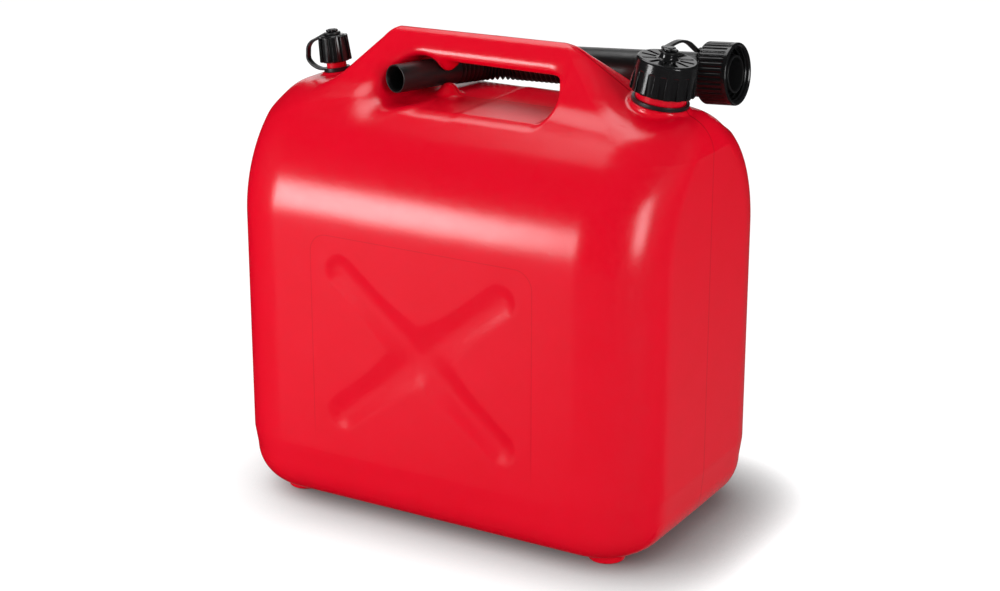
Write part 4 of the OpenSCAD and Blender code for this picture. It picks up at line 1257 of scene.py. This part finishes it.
# Studio
def area(name, at, to, size, power, mirrored=True):
    """A rectangular lamp. One that isn't mirrored lights the can but doesn't show in its gloss."""
    data = bpy.data.lights.new(name, "AREA")
    data.shape = "RECTANGLE"
    data.size, data.size_y = size
    data.energy = power
    ob = new_object(name, data)
    ob.location = at
    ob.rotation_euler = (Vector(to) - Vector(at)).to_track_quat("-Z", "Y").to_euler()
    ob.visible_glossy = mirrored


def polar(az, el, dist, z=0.16):
    """A point round the can by azimuth, elevation and distance from height z on its axis."""
    return (dist * sind(az) * cosd(el), -dist * cosd(az) * cosd(el), z + dist * sind(el))


TARGET = (0.0, 0.0, 0.16)
area("key_box", polar(-32, 9.5, 1.5, 0.25), (0, -0.05, 0.25), (0.5, 0.5), 10.5)
area("right_strip", polar(70, 16, 1.7), (0, 0, 0.25), (0.40, 0.85), 8.5)
area("right_wall", polar(100, 25, 2.2), TARGET, (2.0, 2.0), 9, mirrored=False)
area("over_box", (-0.24, 0.248, 1.081), (0.115, -0.05, 0.31), (0.57, 0.42), 2.4)
area("left_wall", polar(-65, 20, 2.0), TARGET, (1.2, 1.2), 4, mirrored=False)
area("back_box", polar(170, 60, 2.2), TARGET, (1.6, 1.0), 6, mirrored=False)
area("front_card", polar(-32, -14, 1.5, 0.2), (0, -0.05, 0.2), (0.5, 0.6), 0.3)

# The floor is white to the camera and darker where the can shuts out the room, most of all on the right
SHADOW_LEAN = (-0.50, -0.42, 0.76)
SHADOW_REACH = 0.06
FLOOR_GLOW = 0.95
floor_mat, ft, fb = nodes_of("floor_white")
fn = ft.nodes.new("ShaderNodeTexNoise")
fn.inputs["Scale"].default_value = 2.0
tone = mixed(ft, fn.outputs["Fac"], (0.84, 0.84, 0.84), (0.86, 0.86, 0.86))
seen = ft.nodes.new("ShaderNodeLightPath")
shown = mixed(ft, seen.outputs["Is Camera Ray"], tone, (0.16, 0.16, 0.16))
ft.links.new(shown, fb.inputs["Base Color"])
fb.inputs["Roughness"].default_value = 0.8
fb.inputs["Emission Color"].default_value = (1, 1, 1, 1)
near = ft.nodes.new("ShaderNodeAmbientOcclusion")
near.inputs["Distance"].default_value = SHADOW_REACH
away = ft.nodes.new("ShaderNodeCombineXYZ")
for k, v in enumerate(SHADOW_LEAN):
    away.inputs[k].default_value = v
ft.links.new(away.outputs[0], near.inputs["Normal"])
near.samples = 16
open_sky = math_node(ft, "POWER", near.outputs["AO"], 2.0)
glow = math_node(ft, "MULTIPLY", seen.outputs["Is Camera Ray"], FLOOR_GLOW)
ft.links.new(math_node(ft, "MULTIPLY", glow, open_sky), fb.inputs["Emission Strength"])
bpy.ops.mesh.primitive_plane_add(size=14.0, location=(0, 0, -0.0002))
floor = bpy.context.object
floor.name = "floor"
floor.data.materials.append(floor_mat)
floor.visible_glossy = False
floor.visible_shadow = False

# Dark cloths all round but at the back, seen only in reflections, keep the white room off the red sides.
# Low down at the back they glow faintly, a painted reflection of the paler floor there
FLOOR_SHEEN = 0.16
ROOM = 3.5
BACK_TOP = 2.9
BACK_GAP = -0.8
cloth, ct, cb = nodes_of("dark_cloth")
cn = ct.nodes.new("ShaderNodeTexNoise")
cloth_tone = mixed(ct, cn.outputs["Fac"], (0.010, 0.010, 0.010), (0.014, 0.014, 0.014))
ct.links.new(cloth_tone, cb.inputs["Base Color"])
cb.inputs["Roughness"].default_value = 1.0
cb.inputs["Specular IOR Level"].default_value = 0.0
at = ct.nodes.new("ShaderNodeTexCoord")
where = ct.nodes.new("ShaderNodeSeparateXYZ")
ct.links.new(at.outputs["Object"], where.inputs[0])
behind = math_node(ct, "GREATER_THAN", where.outputs["Y"], 0.99 * ROOM)
# Painted reflection: the cloths glow low down at the back, where the floor would show in the gloss
sheen = math_node(ct, "MULTIPLY", fade(ct, where.outputs["Z"], -1.7, -0.2), FLOOR_SHEEN)
ct.links.new(math_node(ct, "MULTIPLY", sheen, behind), cb.inputs["Emission Strength"])
cb.inputs["Emission Color"].default_value = (1, 1, 1, 1)
gap = [(-ROOM, ROOM, 0.0), (BACK_GAP, ROOM, 0.0), (BACK_GAP, ROOM, BACK_TOP), (-ROOM, ROOM, BACK_TOP)]
corners = [(sx * ROOM, sy * ROOM, sz * ROOM) for sx in (-1, 1) for sy in (-1, 1) for sz in (-1, 1)] + gap
sides = [(0, 1, 5, 4), (0, 1, 3, 11, 8, 2), (4, 5, 7, 6), (1, 5, 7, 3), (0, 4, 6, 2)]
walls = sides + [(2, 6, 9, 8), (6, 7, 10, 9), (7, 3, 11, 10)]
room_mesh = bpy.data.meshes.new("dark_cloths")
room_mesh.from_pydata(corners, [], walls)
room_mesh.materials.append(cloth)
room = new_object("dark_cloths", room_mesh)
room.visible_camera = False
room.visible_diffuse = False
room.visible_shadow = False

# The world is white where it is seen, also in gloss, and gives the can a weaker fill
WORLD_FILL = 0.36
world = bpy.data.worlds.new("world")
bpy.context.scene.world = world
world.use_nodes = True
wt = world.node_tree
bg = wt.nodes["Background"]
path = wt.nodes.new("ShaderNodeLightPath")
mirrored = math_node(wt, "ADD", path.outputs["Is Glossy Ray"], path.outputs["Is Transmission Ray"])
open_room = math_node(wt, "MINIMUM", math_node(wt, "ADD", path.outputs["Is Camera Ray"], mirrored), 1.0)
fill = math_node(wt, "MULTIPLY_ADD", open_room, 1.0 - WORLD_FILL, WORLD_FILL)
wt.links.new(fill, bg.inputs["Strength"])
bg.inputs["Color"].default_value = (1, 1, 1, 1)
bpy.context.scene.view_settings.view_transform = "Standard"
